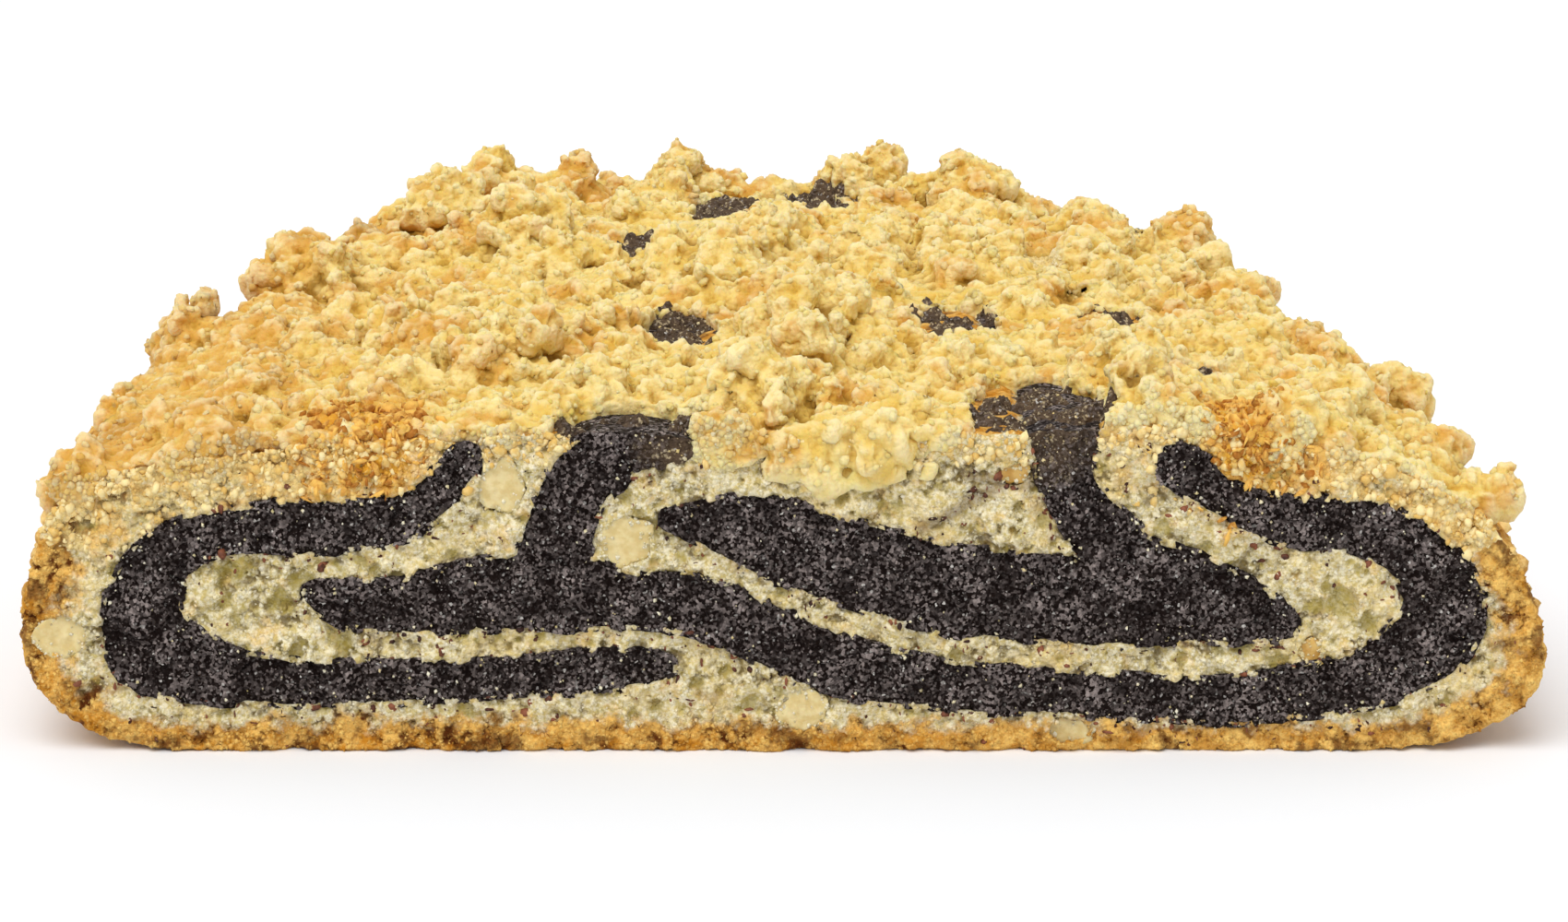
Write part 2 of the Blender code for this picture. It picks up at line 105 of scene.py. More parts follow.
class Trait(Enum):
    """What a vertex of a piece carries for its material, from 0 to 1."""

    CRUST = "crust"
    # painted shade: how far a vertex lies in an open pore, which the dough's material paints darker
    PORE = "pore"
    STAIN = "stain"
    # painted shade: how far a vertex lies in a gap or hollow, where its material paints it darker
    CAVITY = "cavity"
    # painted shade: how deep a vertex of the streusel lies in a wide crevice, where its material paints it
    # dark brown
    CREVICE = "crevice"
    BROWN = "brown"
    # a random tone for each loose grain and a paler crust, and on the streusel how proud a tip stands, where
    # its material paints a highlight
    GRAIN = "grain"
    SKIN = "skin"
    SHOULDER = "shoulder"
    CUT = "cut"
    BARE = "bare"
    TOAST = "toast"
    SPECK = "speck"
    COARSE = "coarse"
    SEAM = "seam"
    ROOM = "room"


# Writing node trees


@dataclass(frozen=True)
class Patches:
    """Soft patches: a noise, and the range of it that turns from one value to another.

    The scale is in waves to the metre, detail is the number of octaves, and rough is how strong
    each further one is. Between low and high the noise turns from start to end.
    """

    scale: float
    detail: float
    rough: float
    low: float
    high: float
    start: float = 0.0
    end: float = 1.0


class TreeWriter:
    """Adds nodes and links to one node tree."""

    def __init__(self, tree: bpy.types.NodeTree) -> None:
        """Keeps the tree.

        Args:
            tree: the tree to write.
        """
        self.tree = tree

    def node(self, kind: str, inputs: dict | None = None, **settings: object) -> bpy.types.Node:
        """Adds a node and feeds its inputs.

        Args:
            kind: Blender's name for the node's type.
            inputs: a value or a socket for each input, by name or by number.
            settings: the node's own properties.

        Returns:
            The new node.
        """
        made = self.tree.nodes.new(kind)
        for name, value in settings.items():
            setattr(made, name, value)
        for key, value in (inputs or {}).items():
            named = (socket for socket in made.inputs if socket.enabled and socket.name == key)
            socket = made.inputs[key] if isinstance(key, int) else next(named)
            if isinstance(value, Socket):
                self.tree.links.new(value, socket)
            else:
                socket.default_value = value
        return made

    def maths(self, operation: str, first: object, second: object = 0.0) -> Socket:
        """The result of one Math node on two values or sockets."""
        return self.node("ShaderNodeMath", {0: first, 1: second}, operation=operation).outputs[0]

    def times(self, first: object, second: object) -> Socket:
        """One value times another."""
        return self.maths("MULTIPLY", first, second)

    def plus(self, first: object, second: object) -> Socket:
        """One value plus another."""
        return self.maths("ADD", first, second)

    def minus(self, first: object, second: object) -> Socket:
        """One value less another."""
        return self.maths("SUBTRACT", first, second)

    def noise(self, scale: float, detail: float = 3.0, rough: float = 0.55,
              at: Socket | None = None) -> Socket:
        """The value of a noise texture, around one half.

        Args:
            scale: waves to the metre.
            detail: octaves.
            rough: how strong each further octave is.
            at: where it is read, or the default place.

        Returns:
            The texture's value.
        """
        feed = {"Scale": scale, "Detail": detail, "Roughness": rough}
        if at is not None:
            feed["Vector"] = at
        return self.node("ShaderNodeTexNoise", feed).outputs[0]

    def spread(self, value: Socket, low: float, high: float, start: float = 0.0, end: float = 1.0) -> Socket:
        """A value brought from the range low to high to the range start to end, with soft ends."""
        feed = {"Value": value, "From Min": low, "From Max": high, "To Min": start, "To Max": end}
        return self.node("ShaderNodeMapRange", feed, interpolation_type="SMOOTHSTEP").outputs[0]


class ShaderWriter(TreeWriter):
    """Writes the shader of one material, on Object coordinates."""

    def __init__(self, name: str) -> None:
        """Makes the material.

        Args:
            name: the material's name.
        """
        self.material = bpy.data.materials.new(name)
        self.material.use_nodes = True
        super().__init__(self.material.node_tree)
        self.shader = self.tree.nodes["Principled BSDF"]
        self.place = self.node("ShaderNodeTexCoord").outputs["Object"]

    def grain(self, scale: float, detail: float = 3.0, rough: float = 0.55) -> Socket:
        """A noise read at the surface's place."""
        return self.noise(scale, detail, rough, self.place)

    def patches(self, kind: Patches) -> Socket:
        """Soft patches over the surface."""
        grain = self.grain(kind.scale, kind.detail, kind.rough)
        return self.spread(grain, kind.low, kind.high, kind.start, kind.end)

    def cells(self, scale: float, output: str = "Distance") -> Socket:
        """One output of a cell pattern read at the surface's place."""
        return self.node("ShaderNodeTexVoronoi", {"Vector": self.place, "Scale": scale}).outputs[output]

    def trait(self, trait: Trait) -> Socket:
        """A trait that the piece's vertices carry."""
        return self.node("ShaderNodeAttribute", attribute_name=trait.value).outputs["Fac"]

    def blend(self, share: object, first: object, second: object) -> Socket:
        """Two colours mixed.

        Args:
            share: how much of the second there is.
            first: a colour or a socket.
            second: a colour or a socket.

        Returns:
            The mixed colour.
        """
        colours = [(*c, 1.0) if isinstance(c, tuple) else c for c in (first, second)]
        feed = {0: share, 6: colours[0], 7: colours[1]}
        return self.node("ShaderNodeMix", feed, data_type="RGBA").outputs[2]

    def relief(self, height: Socket, depth: float, strength: float) -> Socket:
        """A normal bumped by a height that stands this many metres proud."""
        feed = {"Height": height, "Distance": depth, "Strength": strength}
        return self.node("ShaderNodeBump", feed).outputs[0]

    def finish(self, colour: Socket, normal: Socket | None = None, **settings: object) -> Material:
        """Feeds the shader.

        Args:
            colour: the surface's colour.
            normal: its bumped normal.
            settings: values or sockets for other inputs, with underscores for spaces.

        Returns:
            The finished material.
        """
        self.tree.links.new(colour, self.shader.inputs["Base Color"])
        if normal is not None:
            self.tree.links.new(normal, self.shader.inputs["Normal"])
        for name, value in settings.items():
            socket = self.shader.inputs[name.replace("_", " ")]
            if isinstance(value, Socket):
                self.tree.links.new(value, socket)
            else:
                socket.default_value = value
        return self.material


# Finishes

TOAST_FLECKS = Patches(330, 5, 0.7, 0.38, 0.54)


def toasted_share(w: ShaderWriter) -> Socket:
    """How much of the surface is toasted, in the flecks that dough and streusel share."""
    return w.times(w.trait(Trait.TOAST), w.patches(TOAST_FLECKS))


@dataclass(frozen=True)
class DoughFinish:
    """Baked yeast dough: pale crumb inside, golden to brown where it was the outside, with painted shade in
    its gaps, pores and hollows.
    """

    light: Colour = (0.99, 0.92, 0.70)
    middle: Colour = (0.60, 0.48, 0.18)
    shade: Colour = (0.15, 0.095, 0.018)
    warm: Colour = (0.88, 0.66, 0.26)
    # painted shade: the darker olive painted inside the open pores
    pore: Colour = (0.40, 0.31, 0.055)
    stain: Colour = (0.12, 0.06, 0.035)
    grain: Colour = (0.98, 0.62, 0.17)
    golden: Colour = (0.56, 0.225, 0.014)
    # the real brown of the crust's darker patches, also painted into the crust's hollows as shade
    brown: Colour = (0.13, 0.032, 0.002)
    toast: Colour = (0.82, 0.40, 0.035)
    roughness: float = 0.85
    bump: float = 0.00030
    crumb_tone: Patches = Patches(1700, 4, 0.65, 0.36, 0.64, 0.0, 0.85)
    warm_places: Patches = Patches(130, 3, 0.55, 0.48, 0.72, 0.0, 0.5)
    warm_grain: Patches = Patches(520, 4, 0.6, 0.35, 0.60, 0.3, 1.0)
    hollow_breaks: Patches = Patches(1100, 4, 0.55, 0.3, 0.7, -0.25, 0.25)
    baked_tone: Patches = Patches(420, 5, 0.7, 0.38, 0.62, 0.0, 0.7)
    brown_places: Patches = Patches(260, 4, 0.65, 0.50, 0.66, 0.0, 0.8)
    crust_breaks: Patches = Patches(420, 4, 0.55, 0.3, 0.7, -0.25, 0.25)
    loose_share: float = 0.45
    hollow_share: float = 0.80
    pore_share: float = 0.65
    stain_share: float = 0.55

    def material(self) -> Material:
        """The dough's material.

        Returns:
            The material, with all its nodes.
        """
        w = ShaderWriter("baked_dough")
        loose = w.times(w.trait(Trait.GRAIN), self.loose_share)
        crumb = w.blend(w.plus(w.patches(self.crumb_tone), loose), self.middle, self.light)
        crumb = w.blend(w.patches(self.warm_places), crumb, self.warm)
        crumb = w.blend(w.times(w.trait(Trait.BROWN), w.patches(self.warm_grain)), crumb, self.warm)
        # painted shade: the gaps between the crumbs are painted towards the dark shade colour
        hollow = w.plus(w.trait(Trait.CAVITY), w.patches(self.hollow_breaks))
        hollow = w.spread(w.minus(hollow, loose), 0.40, 1.0)
        crumb = w.blend(w.times(hollow, self.hollow_share), crumb, self.shade)
        # painted shade: the open pores are painted darker olive
        crumb = w.blend(w.times(w.trait(Trait.PORE), self.pore_share), crumb, self.pore)
        baked = w.blend(w.plus(w.patches(self.baked_tone), loose), self.golden, self.grain)
        baked = w.blend(w.patches(self.brown_places), baked, self.brown)
        # painted shade: the crust is painted brown in its hollows
        baked = w.blend(hollow, baked, self.brown)
        crust = w.plus(w.trait(Trait.CRUST), w.patches(self.crust_breaks))
        colour = w.blend(w.spread(crust, 0.08, 0.50), crumb, baked)
        colour = w.blend(toasted_share(w), colour, self.toast)
        colour = w.blend(w.times(w.trait(Trait.STAIN), self.stain_share), colour, self.stain)
        height = w.plus(w.grain(2300, 4, 0.65), w.times(w.cells(2100), -1.0))
        return w.finish(
            colour,
            w.relief(height, self.bump, 0.9),
            Roughness=self.roughness,
            Specular_IOR_Level=0.2,
            Subsurface_Weight=0.12,
            Subsurface_Radius=(1.0, 0.75, 0.40),
            Subsurface_Scale=0.0010,
        )


@dataclass(frozen=True)
class PoppyFinish:
    """Ground poppy seed: blue-black grains in a moist paste, grey-brown where it baked dry, with painted
    shade in its gaps and painted glints.
    """

    # the filling's own colour, also painted into its gaps as shade
    paste: Colour = (0.010, 0.005, 0.004)
    grain: Colour = (0.38, 0.315, 0.295)
    # painted highlight: the pale glints of the seeds, painted into the colour
    glint: Colour = (0.62, 0.59, 0.55)
    dull: Colour = (0.13, 0.085, 0.052)
    dry: Colour = (0.62, 0.50, 0.31)
    bump: float = 0.00050
    grain_cells: float = 2900.0
    glint_cells: float = 3700.0
    clots: Patches = Patches(260, 4, 0.6, 0.36, 0.64, 0.35, 1.50)
    dull_places: Patches = Patches(500, 4, 0.65, 0.3, 0.6, 0.35, 1.0)
    dry_crumbs: Patches = Patches(1000, 4, 0.7, 0.56, 0.66)
    moist_places: Patches = Patches(1900, 2, 0.55, 0.3, 0.7, 0.45, 0.85)

    def material(self) -> Material:
        """The filling's material.

        Returns:
            The material, with all its nodes.
        """
        w = ShaderWriter("poppy_paste")
        tone = w.times(w.spread(w.cells(self.grain_cells, "Color"), 0.36, 1.0), 0.85)
        tone = w.times(tone, w.patches(self.clots))
        tone = w.plus(tone, w.spread(w.trait(Trait.GRAIN), 0.45, 1.0, 0.0, 0.75))
        colour = w.blend(tone, self.paste, self.grain)
        # painted shade: the gaps are painted back towards the dark paste
        colour = w.blend(w.times(w.trait(Trait.CAVITY), 0.8), colour, self.paste)
        colour = w.blend(w.times(w.trait(Trait.BROWN), w.patches(self.dull_places)), colour, self.dull)
        dry = w.plus(w.patches(self.dry_crumbs), w.spread(w.trait(Trait.GRAIN), 0.66, 0.95))
        colour = w.blend(w.times(w.trait(Trait.BROWN), dry), colour, self.dry)
        # painted highlights: bright specks painted where the cell pattern is high
        colour = w.blend(w.spread(w.cells(self.glint_cells, "Color"), 0.84, 0.97), colour, self.glint)
        height = w.minus(w.grain(2600, 4), w.cells(1500))
        return w.finish(
            colour,
            w.relief(height, self.bump, 1.0),
            Roughness=w.patches(self.moist_places),
            Specular_IOR_Level=0.08,
        )


@dataclass(frozen=True)
class GrainFinish:
    """Loose grains, each with its own tone between a dark and a light one."""

    name: str
    dark: Colour
    light: Colour
    roughness: float = 0.4
    soft: float = 0.0
    bump: float = 0.00012
    breaks: Patches = Patches(1600, 3, 0.55, 0.3, 0.7, -0.25, 0.25)

    def material(self) -> Material:
        """The grains' material.

        Returns:
            The material, with all its nodes.
        """
        w = ShaderWriter(self.name)
        tone = w.plus(w.trait(Trait.GRAIN), w.patches(self.breaks))
        colour = w.blend(w.spread(tone, 0.0, 1.0), self.dark, self.light)
        return w.finish(
            colour,
            w.relief(w.grain(3500, 3), self.bump, 0.8),
            Roughness=self.roughness,
            Specular_IOR_Level=0.3,
            Subsurface_Weight=self.soft,
            Subsurface_Radius=(1.0, 0.7, 0.35),
            Subsurface_Scale=0.0010,
        )


@dataclass(frozen=True)
class StreuselFinish:
    """Butter streusel: pale yellow, peach where it browned, with olive gold painted shade in its hollows and
    crevices and painted highlights on its tips.
    """

    cream: Colour = (0.90, 0.71, 0.28)
    yellow: Colour = (0.80, 0.55, 0.125)
    peach: Colour = (0.74, 0.41, 0.085)
    tan: Colour = (0.54, 0.265, 0.045)
    # painted shade: the saturated orange painted into the small hollows
    hollow: Colour = (0.64, 0.34, 0.022)
    # painted shade: the dark brown painted into the wide crevices
    crevice: Colour = (0.27, 0.13, 0.009)
    # painted highlight: the pale colour painted on the proud tips
    tip: Colour = (0.95, 0.82, 0.50)
    crumb: Colour = (0.88, 0.70, 0.31)
    toast: Colour = (0.78, 0.36, 0.030)
    bump: float = 0.00032
    tone: Patches = Patches(210, 4, 0.6, 0.36, 0.64)
    pale_places: Patches = Patches(900, 3, 0.55, 0.3, 0.6, 0.4, 0.9)
    brown_breaks: Patches = Patches(300, 4, 0.6, 0.3, 0.7, -0.3, 0.3)
    tip_share: float = 0.55
    hollow_share: float = 0.60
    crevice_share: float = 0.92

    def material(self) -> Material:
        """The streusel's material.

        Returns:
            The material, with all its nodes.
        """
        w = ShaderWriter("butter_streusel")
        colour = w.blend(w.patches(self.tone), self.yellow, self.cream)
        colour = w.blend(w.times(w.trait(Trait.CUT), w.patches(self.pale_places)), colour, self.crumb)
        brown = w.plus(w.trait(Trait.BROWN), w.patches(self.brown_breaks))
        colour = w.blend(w.spread(brown, 0.30, 1.0), colour, self.peach)
        colour = w.blend(w.spread(brown, 1.0, 1.7, 0.0, 0.8), colour, self.tan)
        # painted highlight: the proud tips are painted paler
        colour = w.blend(w.times(w.trait(Trait.GRAIN), self.tip_share), colour, self.tip)
        # painted shade: the small hollows are painted orange
        colour = w.blend(w.times(w.trait(Trait.CAVITY), self.hollow_share), colour, self.hollow)
        # painted shade: the wide crevices are painted dark brown
        colour = w.blend(w.times(w.trait(Trait.CREVICE), self.crevice_share), colour, self.crevice)
        colour = w.blend(toasted_share(w), colour, self.toast)
        height = w.plus(w.grain(1900, 4, 0.7), w.times(w.cells(1700), -0.8))
        return w.finish(
            colour,
            w.relief(height, self.bump, 0.85),
            Roughness=0.78,
            Specular_IOR_Level=0.22,
            Subsurface_Weight=0.32,
            Subsurface_Radius=(1.0, 0.60, 0.20),
            Subsurface_Scale=0.0016,
        )


@dataclass(frozen=True)
class BitFinish:
    """A chopped almond or a piece of candied peel, cut flat by the knife, darker in its gaps as painted
    shade.
    """

    name: str
    flesh: Colour
    vein: Colour
    roughness: float
    soft: float
    bump: float = 0.00020
    tone: Patches = Patches(800, 4, 0.55, 0.35, 0.65)

    def material(self) -> Material:
        """The bit's material.

        Returns:
            The material, with all its nodes.
        """
        w = ShaderWriter(self.name)
        colour = w.blend(w.patches(self.tone), self.vein, self.flesh)
        # painted shade: the gaps of the torn face are painted towards the vein colour
        colour = w.blend(w.times(w.trait(Trait.CAVITY), 0.5), colour, self.vein)
        return w.finish(
            colour,
            w.relief(w.grain(1500, 3), self.bump, 0.8),
            Roughness=self.roughness,
            Subsurface_Weight=self.soft,
            Subsurface_Radius=(1.0, 0.6, 0.25),
            Subsurface_Scale=0.0015,
        )


ALMOND_FLESH = BitFinish("almond_flesh", (0.77, 0.64, 0.33), (0.64, 0.48, 0.19), 0.5, 0.25)
CANDIED_PEEL = BitFinish("candied_peel", (0.72, 0.46, 0.13), (0.52, 0.27, 0.04), 0.35, 0.35)
SEED_SKIN = GrainFinish("seed_skin", (0.035, 0.011, 0.007), (0.26, 0.085, 0.04), 0.6)
GOLDEN_CRUMB = GrainFinish("golden_crumb", (0.74, 0.47, 0.13), (0.94, 0.76, 0.38), 0.8, 0.15)
TOASTED_CRUMB = GrainFinish("toasted_crumb", (0.50, 0.25, 0.045), (0.92, 0.66, 0.26), 0.8, 0.15)
TOASTED_FLAKE = GrainFinish("toasted_flake", (0.40, 0.14, 0.012), (0.90, 0.52, 0.11), 0.7, 0.1)


# The loaf's form


@dataclass(frozen=True)
class LoafForm:
    """How the section at the cut is carried along the loaf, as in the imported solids."""

    length: float = 0.150
    front: float = -0.075
    end_height: float = 0.013
    narrows_from: float = 0.026
    narrowing_power: float = 1.5
    narrowing_roundness: float = 0.50
    drift: float = -0.0028
    drifts_over: float = 0.100
    falls_from: float = 0.100
    fall_power: float = 2.6
    filling_length: float = 0.124
    end_rings: int = 14

    def width_share(self, depth: np.ndarray) -> np.ndarray:
        """The loaf's width at these distances from the cut, as a share of its width there."""
        t = np.clip((depth - self.narrows_from) / (self.length - self.narrows_from), 0, 1)
        return (1 - t**self.narrowing_power) ** self.narrowing_roundness

    def height_share(self, depth: np.ndarray) -> np.ndarray:
        """The loaf's height at these distances from the cut, as a share of its height there."""
        t = np.clip((depth - self.falls_from) / (self.length - self.falls_from), 0, 1)
        return (1 - t**self.fall_power) ** (1 / self.fall_power)

    def shift(self, depth: np.ndarray) -> np.ndarray:
        """How far the loaf has drifted sideways at these distances from the cut."""
        t = np.clip(depth / self.drifts_over, 0, 1)
        return self.drift * t * t * (3 - 2 * t)

    def place(self, section: np.ndarray, depth: np.ndarray | float) -> np.ndarray:
        """Points of the loaf.

        Args:
            section: points of the cut, as x and z.
            depth: how far behind the cut each one is carried.

        Returns:
            The points in space.
        """
        depth = np.broadcast_to(np.asarray(depth, float), len(section))
        height = self.end_height + (section[:, 1] - self.end_height) * self.height_share(depth)
        across = section[:, 0] * self.width_share(depth) + self.shift(depth)
        return np.stack([across, self.front + depth, height], axis=1)

    def stations(self, first: float, last: float, step: float) -> list[float]:
        """Distances from the cut, evenly from the first to the last and about a step apart."""
        count = round((last - first) / step)
        return [first + (last - first) * i / count for i in range(count + 1)]

    def end_stations(self) -> list[float]:
        """Distances from the cut past the filling, closer together towards the rounded end."""
        reach, count = self.length - self.filling_length, self.end_rings
        return [self.filling_length + reach * math.sin(math.pi / 2 * i / count) for i in range(1, count)]


# Outlines in the plane of the cut


@dataclass
class Outline:
    """A closed outline in the plane of the cut, anticlockwise, with a point every short step."""

    points: np.ndarray
    corners: np.ndarray

    MERGE = 1e-6
    FLAT = 2e-5
    CROWDED = 0.00035
    CORNER = math.radians(42)
    LONG = 0.012
    CURVE_STEPS = 12
    CLEAR = 0.99

    @classmethod
    def loops(cls, node: Object, form: LoafForm) -> list[np.ndarray]:
        """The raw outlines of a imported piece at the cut.

        Args:
            node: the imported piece.
            form: the loaf's form.

        Returns:
            One array of x and z for each outline, the one with most points first.
        """
        solid = bmesh.new()
        solid.from_mesh(node.data)
        bmesh.ops.remove_doubles(solid, verts=solid.verts, dist=cls.MERGE)
        flat = {f for f in solid.faces if all(abs(v.co.y - form.front) < cls.FLAT for v in f.verts)}
        near: dict[bmesh.types.BMVert, list[bmesh.types.BMVert]] = {}
        for edge in solid.edges:
            if sum(face in flat for face in edge.link_faces) == 1:
                for vert in edge.verts:
                    near.setdefault(vert, []).append(edge.other_vert(vert))
        left, found = dict.fromkeys(near), []
        while left:
            here = next(iter(left))
            loop = []
            while here is not None:
                left.pop(here)
                loop.append((here.co.x, here.co.z))
                here = next((other for other in near[here] if other in left), None)
            found.append(np.array(loop))
        solid.free()
        return sorted(found, key=len, reverse=True)

    @classmethod
    def smooth(cls, loop: np.ndarray, step: float) -> "Outline":
        """A smooth outline through the points of a raw one, which keeps its corners.

        Args:
            loop: the raw outline.
            step: the distance between the points of the smooth one.

        Returns:
            The smooth outline.
        """
        kept = [loop[0]]
        for point in loop[1:]:
            if np.hypot(*(point - kept[-1])) > cls.CROWDED:
                kept.append(point)
        if np.hypot(*(kept[0] - kept[-1])) <= cls.CROWDED:
            kept.pop()
        raw = np.array(kept)
        following = np.roll(raw, -1, axis=0)
        if np.sum(raw[:, 0] * following[:, 1] - raw[:, 1] * following[:, 0]) < 0:
            raw = raw[::-1]
        side = np.roll(raw, -1, axis=0) - raw
        heading = np.arctan2(side[:, 1], side[:, 0])
        turn = np.abs((heading - np.roll(heading, 1) + math.pi) % (2 * math.pi) - math.pi)
        long = np.hypot(side[:, 0], side[:, 1]) > cls.LONG
        sharp = np.flatnonzero((turn > cls.CORNER) | long | np.roll(long, 1))
        starts = sharp if len(sharp) else np.array([0])
        raw = np.roll(raw, -starts[0], axis=0)
        starts = starts - starts[0]
        points, corners = [], []
        for start, end in zip(starts, [*starts[1:], len(raw)]):
            stretch = np.vstack([raw[start:end], raw[end % len(raw)]])
            made = cls._stretch(stretch, step)
            points.append(made)
            corners.append(np.arange(len(made)) == 0)
        return cls(np.vstack(points), np.concatenate(corners))

    @classmethod
    def _stretch(cls, raw: np.ndarray, step: float) -> np.ndarray:
        """Points every step along a smooth curve through the given ones.

        Args:
            raw: the points that it passes.
            step: the distance between its own points.

        Returns:
            Its points, without the last.
        """
        side = np.diff(raw, axis=0)
        run = np.hypot(side[:, 0], side[:, 1])[:, None]
        slope = side / run
        inner = (slope[:-1] * run[1:] + slope[1:] * run[:-1]) / (run[:-1] + run[1:])
        slopes = np.vstack([slope[:1], inner, slope[-1:]])
        t = np.linspace(0, 1, cls.CURVE_STEPS, endpoint=False)[:, None, None]
        start, end, run = raw[:-1], raw[1:], run[None]
        curve = (
            (2 * t**3 - 3 * t**2 + 1) * start
            + (t**3 - 2 * t**2 + t) * run * slopes[:-1]
            + (3 * t**2 - 2 * t**3) * end
            + (t**3 - t**2) * run * slopes[1:]
        )
        curve = np.vstack([curve.transpose(1, 0, 2).reshape(-1, 2), raw[-1:]])
        far = np.concatenate([[0], np.cumsum(np.hypot(*np.diff(curve, axis=0).T))])
        at = np.linspace(0, far[-1], max(2, round(far[-1] / step)) + 1)[:-1]
        return np.stack([np.interp(at, far, curve[:, k]) for k in (0, 1)], axis=1)

    def normals(self) -> np.ndarray:
        """The outward direction at each point, in the plane of the cut.

        Returns:
            One direction for each point, as x and z.
        """
        along = np.roll(self.points, -1, axis=0) - np.roll(self.points, 1, axis=0)
        along /= np.maximum(np.hypot(along[:, 0], along[:, 1]), 1e-9)[:, None]
        return np.stack([along[:, 1], -along[:, 0]], axis=1)

    def grown(self, by: float) -> "Outline":
        """The outline moved outwards, without the folds that this makes in its bays.

        Args:
            by: how far it moves.

        Returns:
            The moved outline.
        """
        moved = self.points + self.normals() * by
        clear = closest(moved, self.points)[0] > self.CLEAR * by
        return Outline(moved[clear], self.corners[clear])


def inside(points: np.ndarray, loops: list[np.ndarray]) -> np.ndarray:
    """Which points lie inside an odd number of closed outlines.

    Args:
        points: x and z of each point.
        loops: the outlines.

    Returns:
        True for each point inside.
    """
    crossed = np.zeros(len(points), bool)
    for loop in loops:
        for (x0, z0), (x1, z1) in zip(loop, np.roll(loop, -1, axis=0)):
            if z0 == z1:
                continue
            low, high = min(z0, z1), max(z0, z1)
            at = (points[:, 1] >= low) & (points[:, 1] < high)
            reach = x0 + (points[at, 1] - z0) * (x1 - x0) / (z1 - z0)
            crossed[at] ^= points[at, 0] < reach
    return crossed


def closest(points: np.ndarray, others: np.ndarray) -> tuple[np.ndarray, np.ndarray]:
    """The nearest of some points to each of others, in the plane of the cut.

    Args:
        points: where it is looked for.
        others: what is looked for.

    Returns:
        The distance to the nearest one, and its number.
    """
    tree = kdtree.KDTree(len(others))
    for number, (x, z) in enumerate(others):
        tree.insert((x, z, 0.0), number)
    tree.balance()
    found = [tree.find((x, z, 0.0)) for x, z in points]
    return np.array([hit[2] for hit in found]), np.array([hit[1] for hit in found])


# Building meshes


@dataclass
class Shape:
    """A closed mesh in the making: its points, what they carry, and its faces."""

    points: list[np.ndarray] = field(default_factory=list)
    traits: dict[Trait, list[np.ndarray]] = field(default_factory=lambda: {trait: [] for trait in Trait})
    faces: list[tuple[int, ...]] = field(default_factory=list)
    count: int = 0

    def add(self, points: np.ndarray, traits: dict[Trait, np.ndarray | float] | None = None) -> np.ndarray:
        """Adds points.

        Args:
            points: their places.
            traits: what they carry, where that isn't nothing.

        Returns:
            Their numbers.
        """
        self.points.append(np.asarray(points, float))
        for trait, values in self.traits.items():
            values.append(np.broadcast_to((traits or {}).get(trait, 0.0), len(points)))
        first, self.count = self.count, self.count + len(points)
        return np.arange(first, self.count)

    def band(self, near: np.ndarray, far: np.ndarray) -> None:
        """Joins two closed rings of as many points."""
        for a, b, c, d in zip(near, np.roll(near, -1), np.roll(far, -1), far):
            self.faces.append((int(a), int(b), int(c), int(d)))

    def thinning_band(self, fine: np.ndarray, coarse: np.ndarray, picked: np.ndarray) -> None:
        """Joins a fine ring to a coarser one.

        Args:
            fine: the fine ring.
            coarse: the coarser ring.
            picked: which points of the fine ring the coarser one starts from.
        """
        total = len(fine)
        for number, start in enumerate(picked):
            end = picked[(number + 1) % len(picked)]
            run = (end - start) % total or total
            near, far = int(coarse[number]), int(coarse[(number + 1) % len(coarse)])
            for step in range(start, start + run):
                self.faces.append((int(fine[step % total]), int(fine[(step + 1) % total]), near))
            self.faces.append((int(fine[end]), far, near))

    def cap(self, ring: np.ndarray, flat: np.ndarray) -> None:
        """Closes a ring.

        Args:
            ring: its points' numbers.
            flat: the same points seen flat, where they make a simple outline.
        """
        corners = [Vector((x, z, 0)) / MM for x, z in flat]
        for triangle in geometry.tessellate_polygon([corners]):
            self.faces.append(tuple(int(ring[i]) for i in triangle))

    def mesh(self, name: str) -> Mesh:
        """The shape as a mesh with its faces pointing out.

        Args:
            name: the mesh's name.

        Returns:
            The mesh, smooth, with its traits.
        """
        mesh = bpy.data.meshes.new(name)
        mesh.from_pydata(np.vstack(self.points).tolist(), [], self.faces)
        for trait, values in self.traits.items():
            mark(mesh, trait, np.concatenate(values))
        solid = bmesh.new()
        solid.from_mesh(mesh)
        bmesh.ops.recalc_face_normals(solid, faces=solid.faces)
        solid.to_mesh(mesh)
        solid.free()
        mesh.shade_smooth()
        return mesh


def mark(mesh: Mesh, trait: Trait, values: np.ndarray) -> None:
    """Stores a trait on a mesh's vertices."""
    attribute = mesh.attributes.get(trait.value) or mesh.attributes.new(trait.value, "FLOAT", "POINT")
    attribute.data.foreach_set("value", np.clip(values, 0, 1).astype(np.float32))


def marked(mesh: Mesh, trait: Trait) -> np.ndarray:
    """Reads a trait from a mesh's vertices.

    Args:
        mesh: the mesh.
        trait: the trait.

    Returns:
        Its value at each vertex.
    """
    values = np.zeros(len(mesh.vertices), np.float32)
    mesh.attributes[trait.value].data.foreach_get("value", values)
    return values


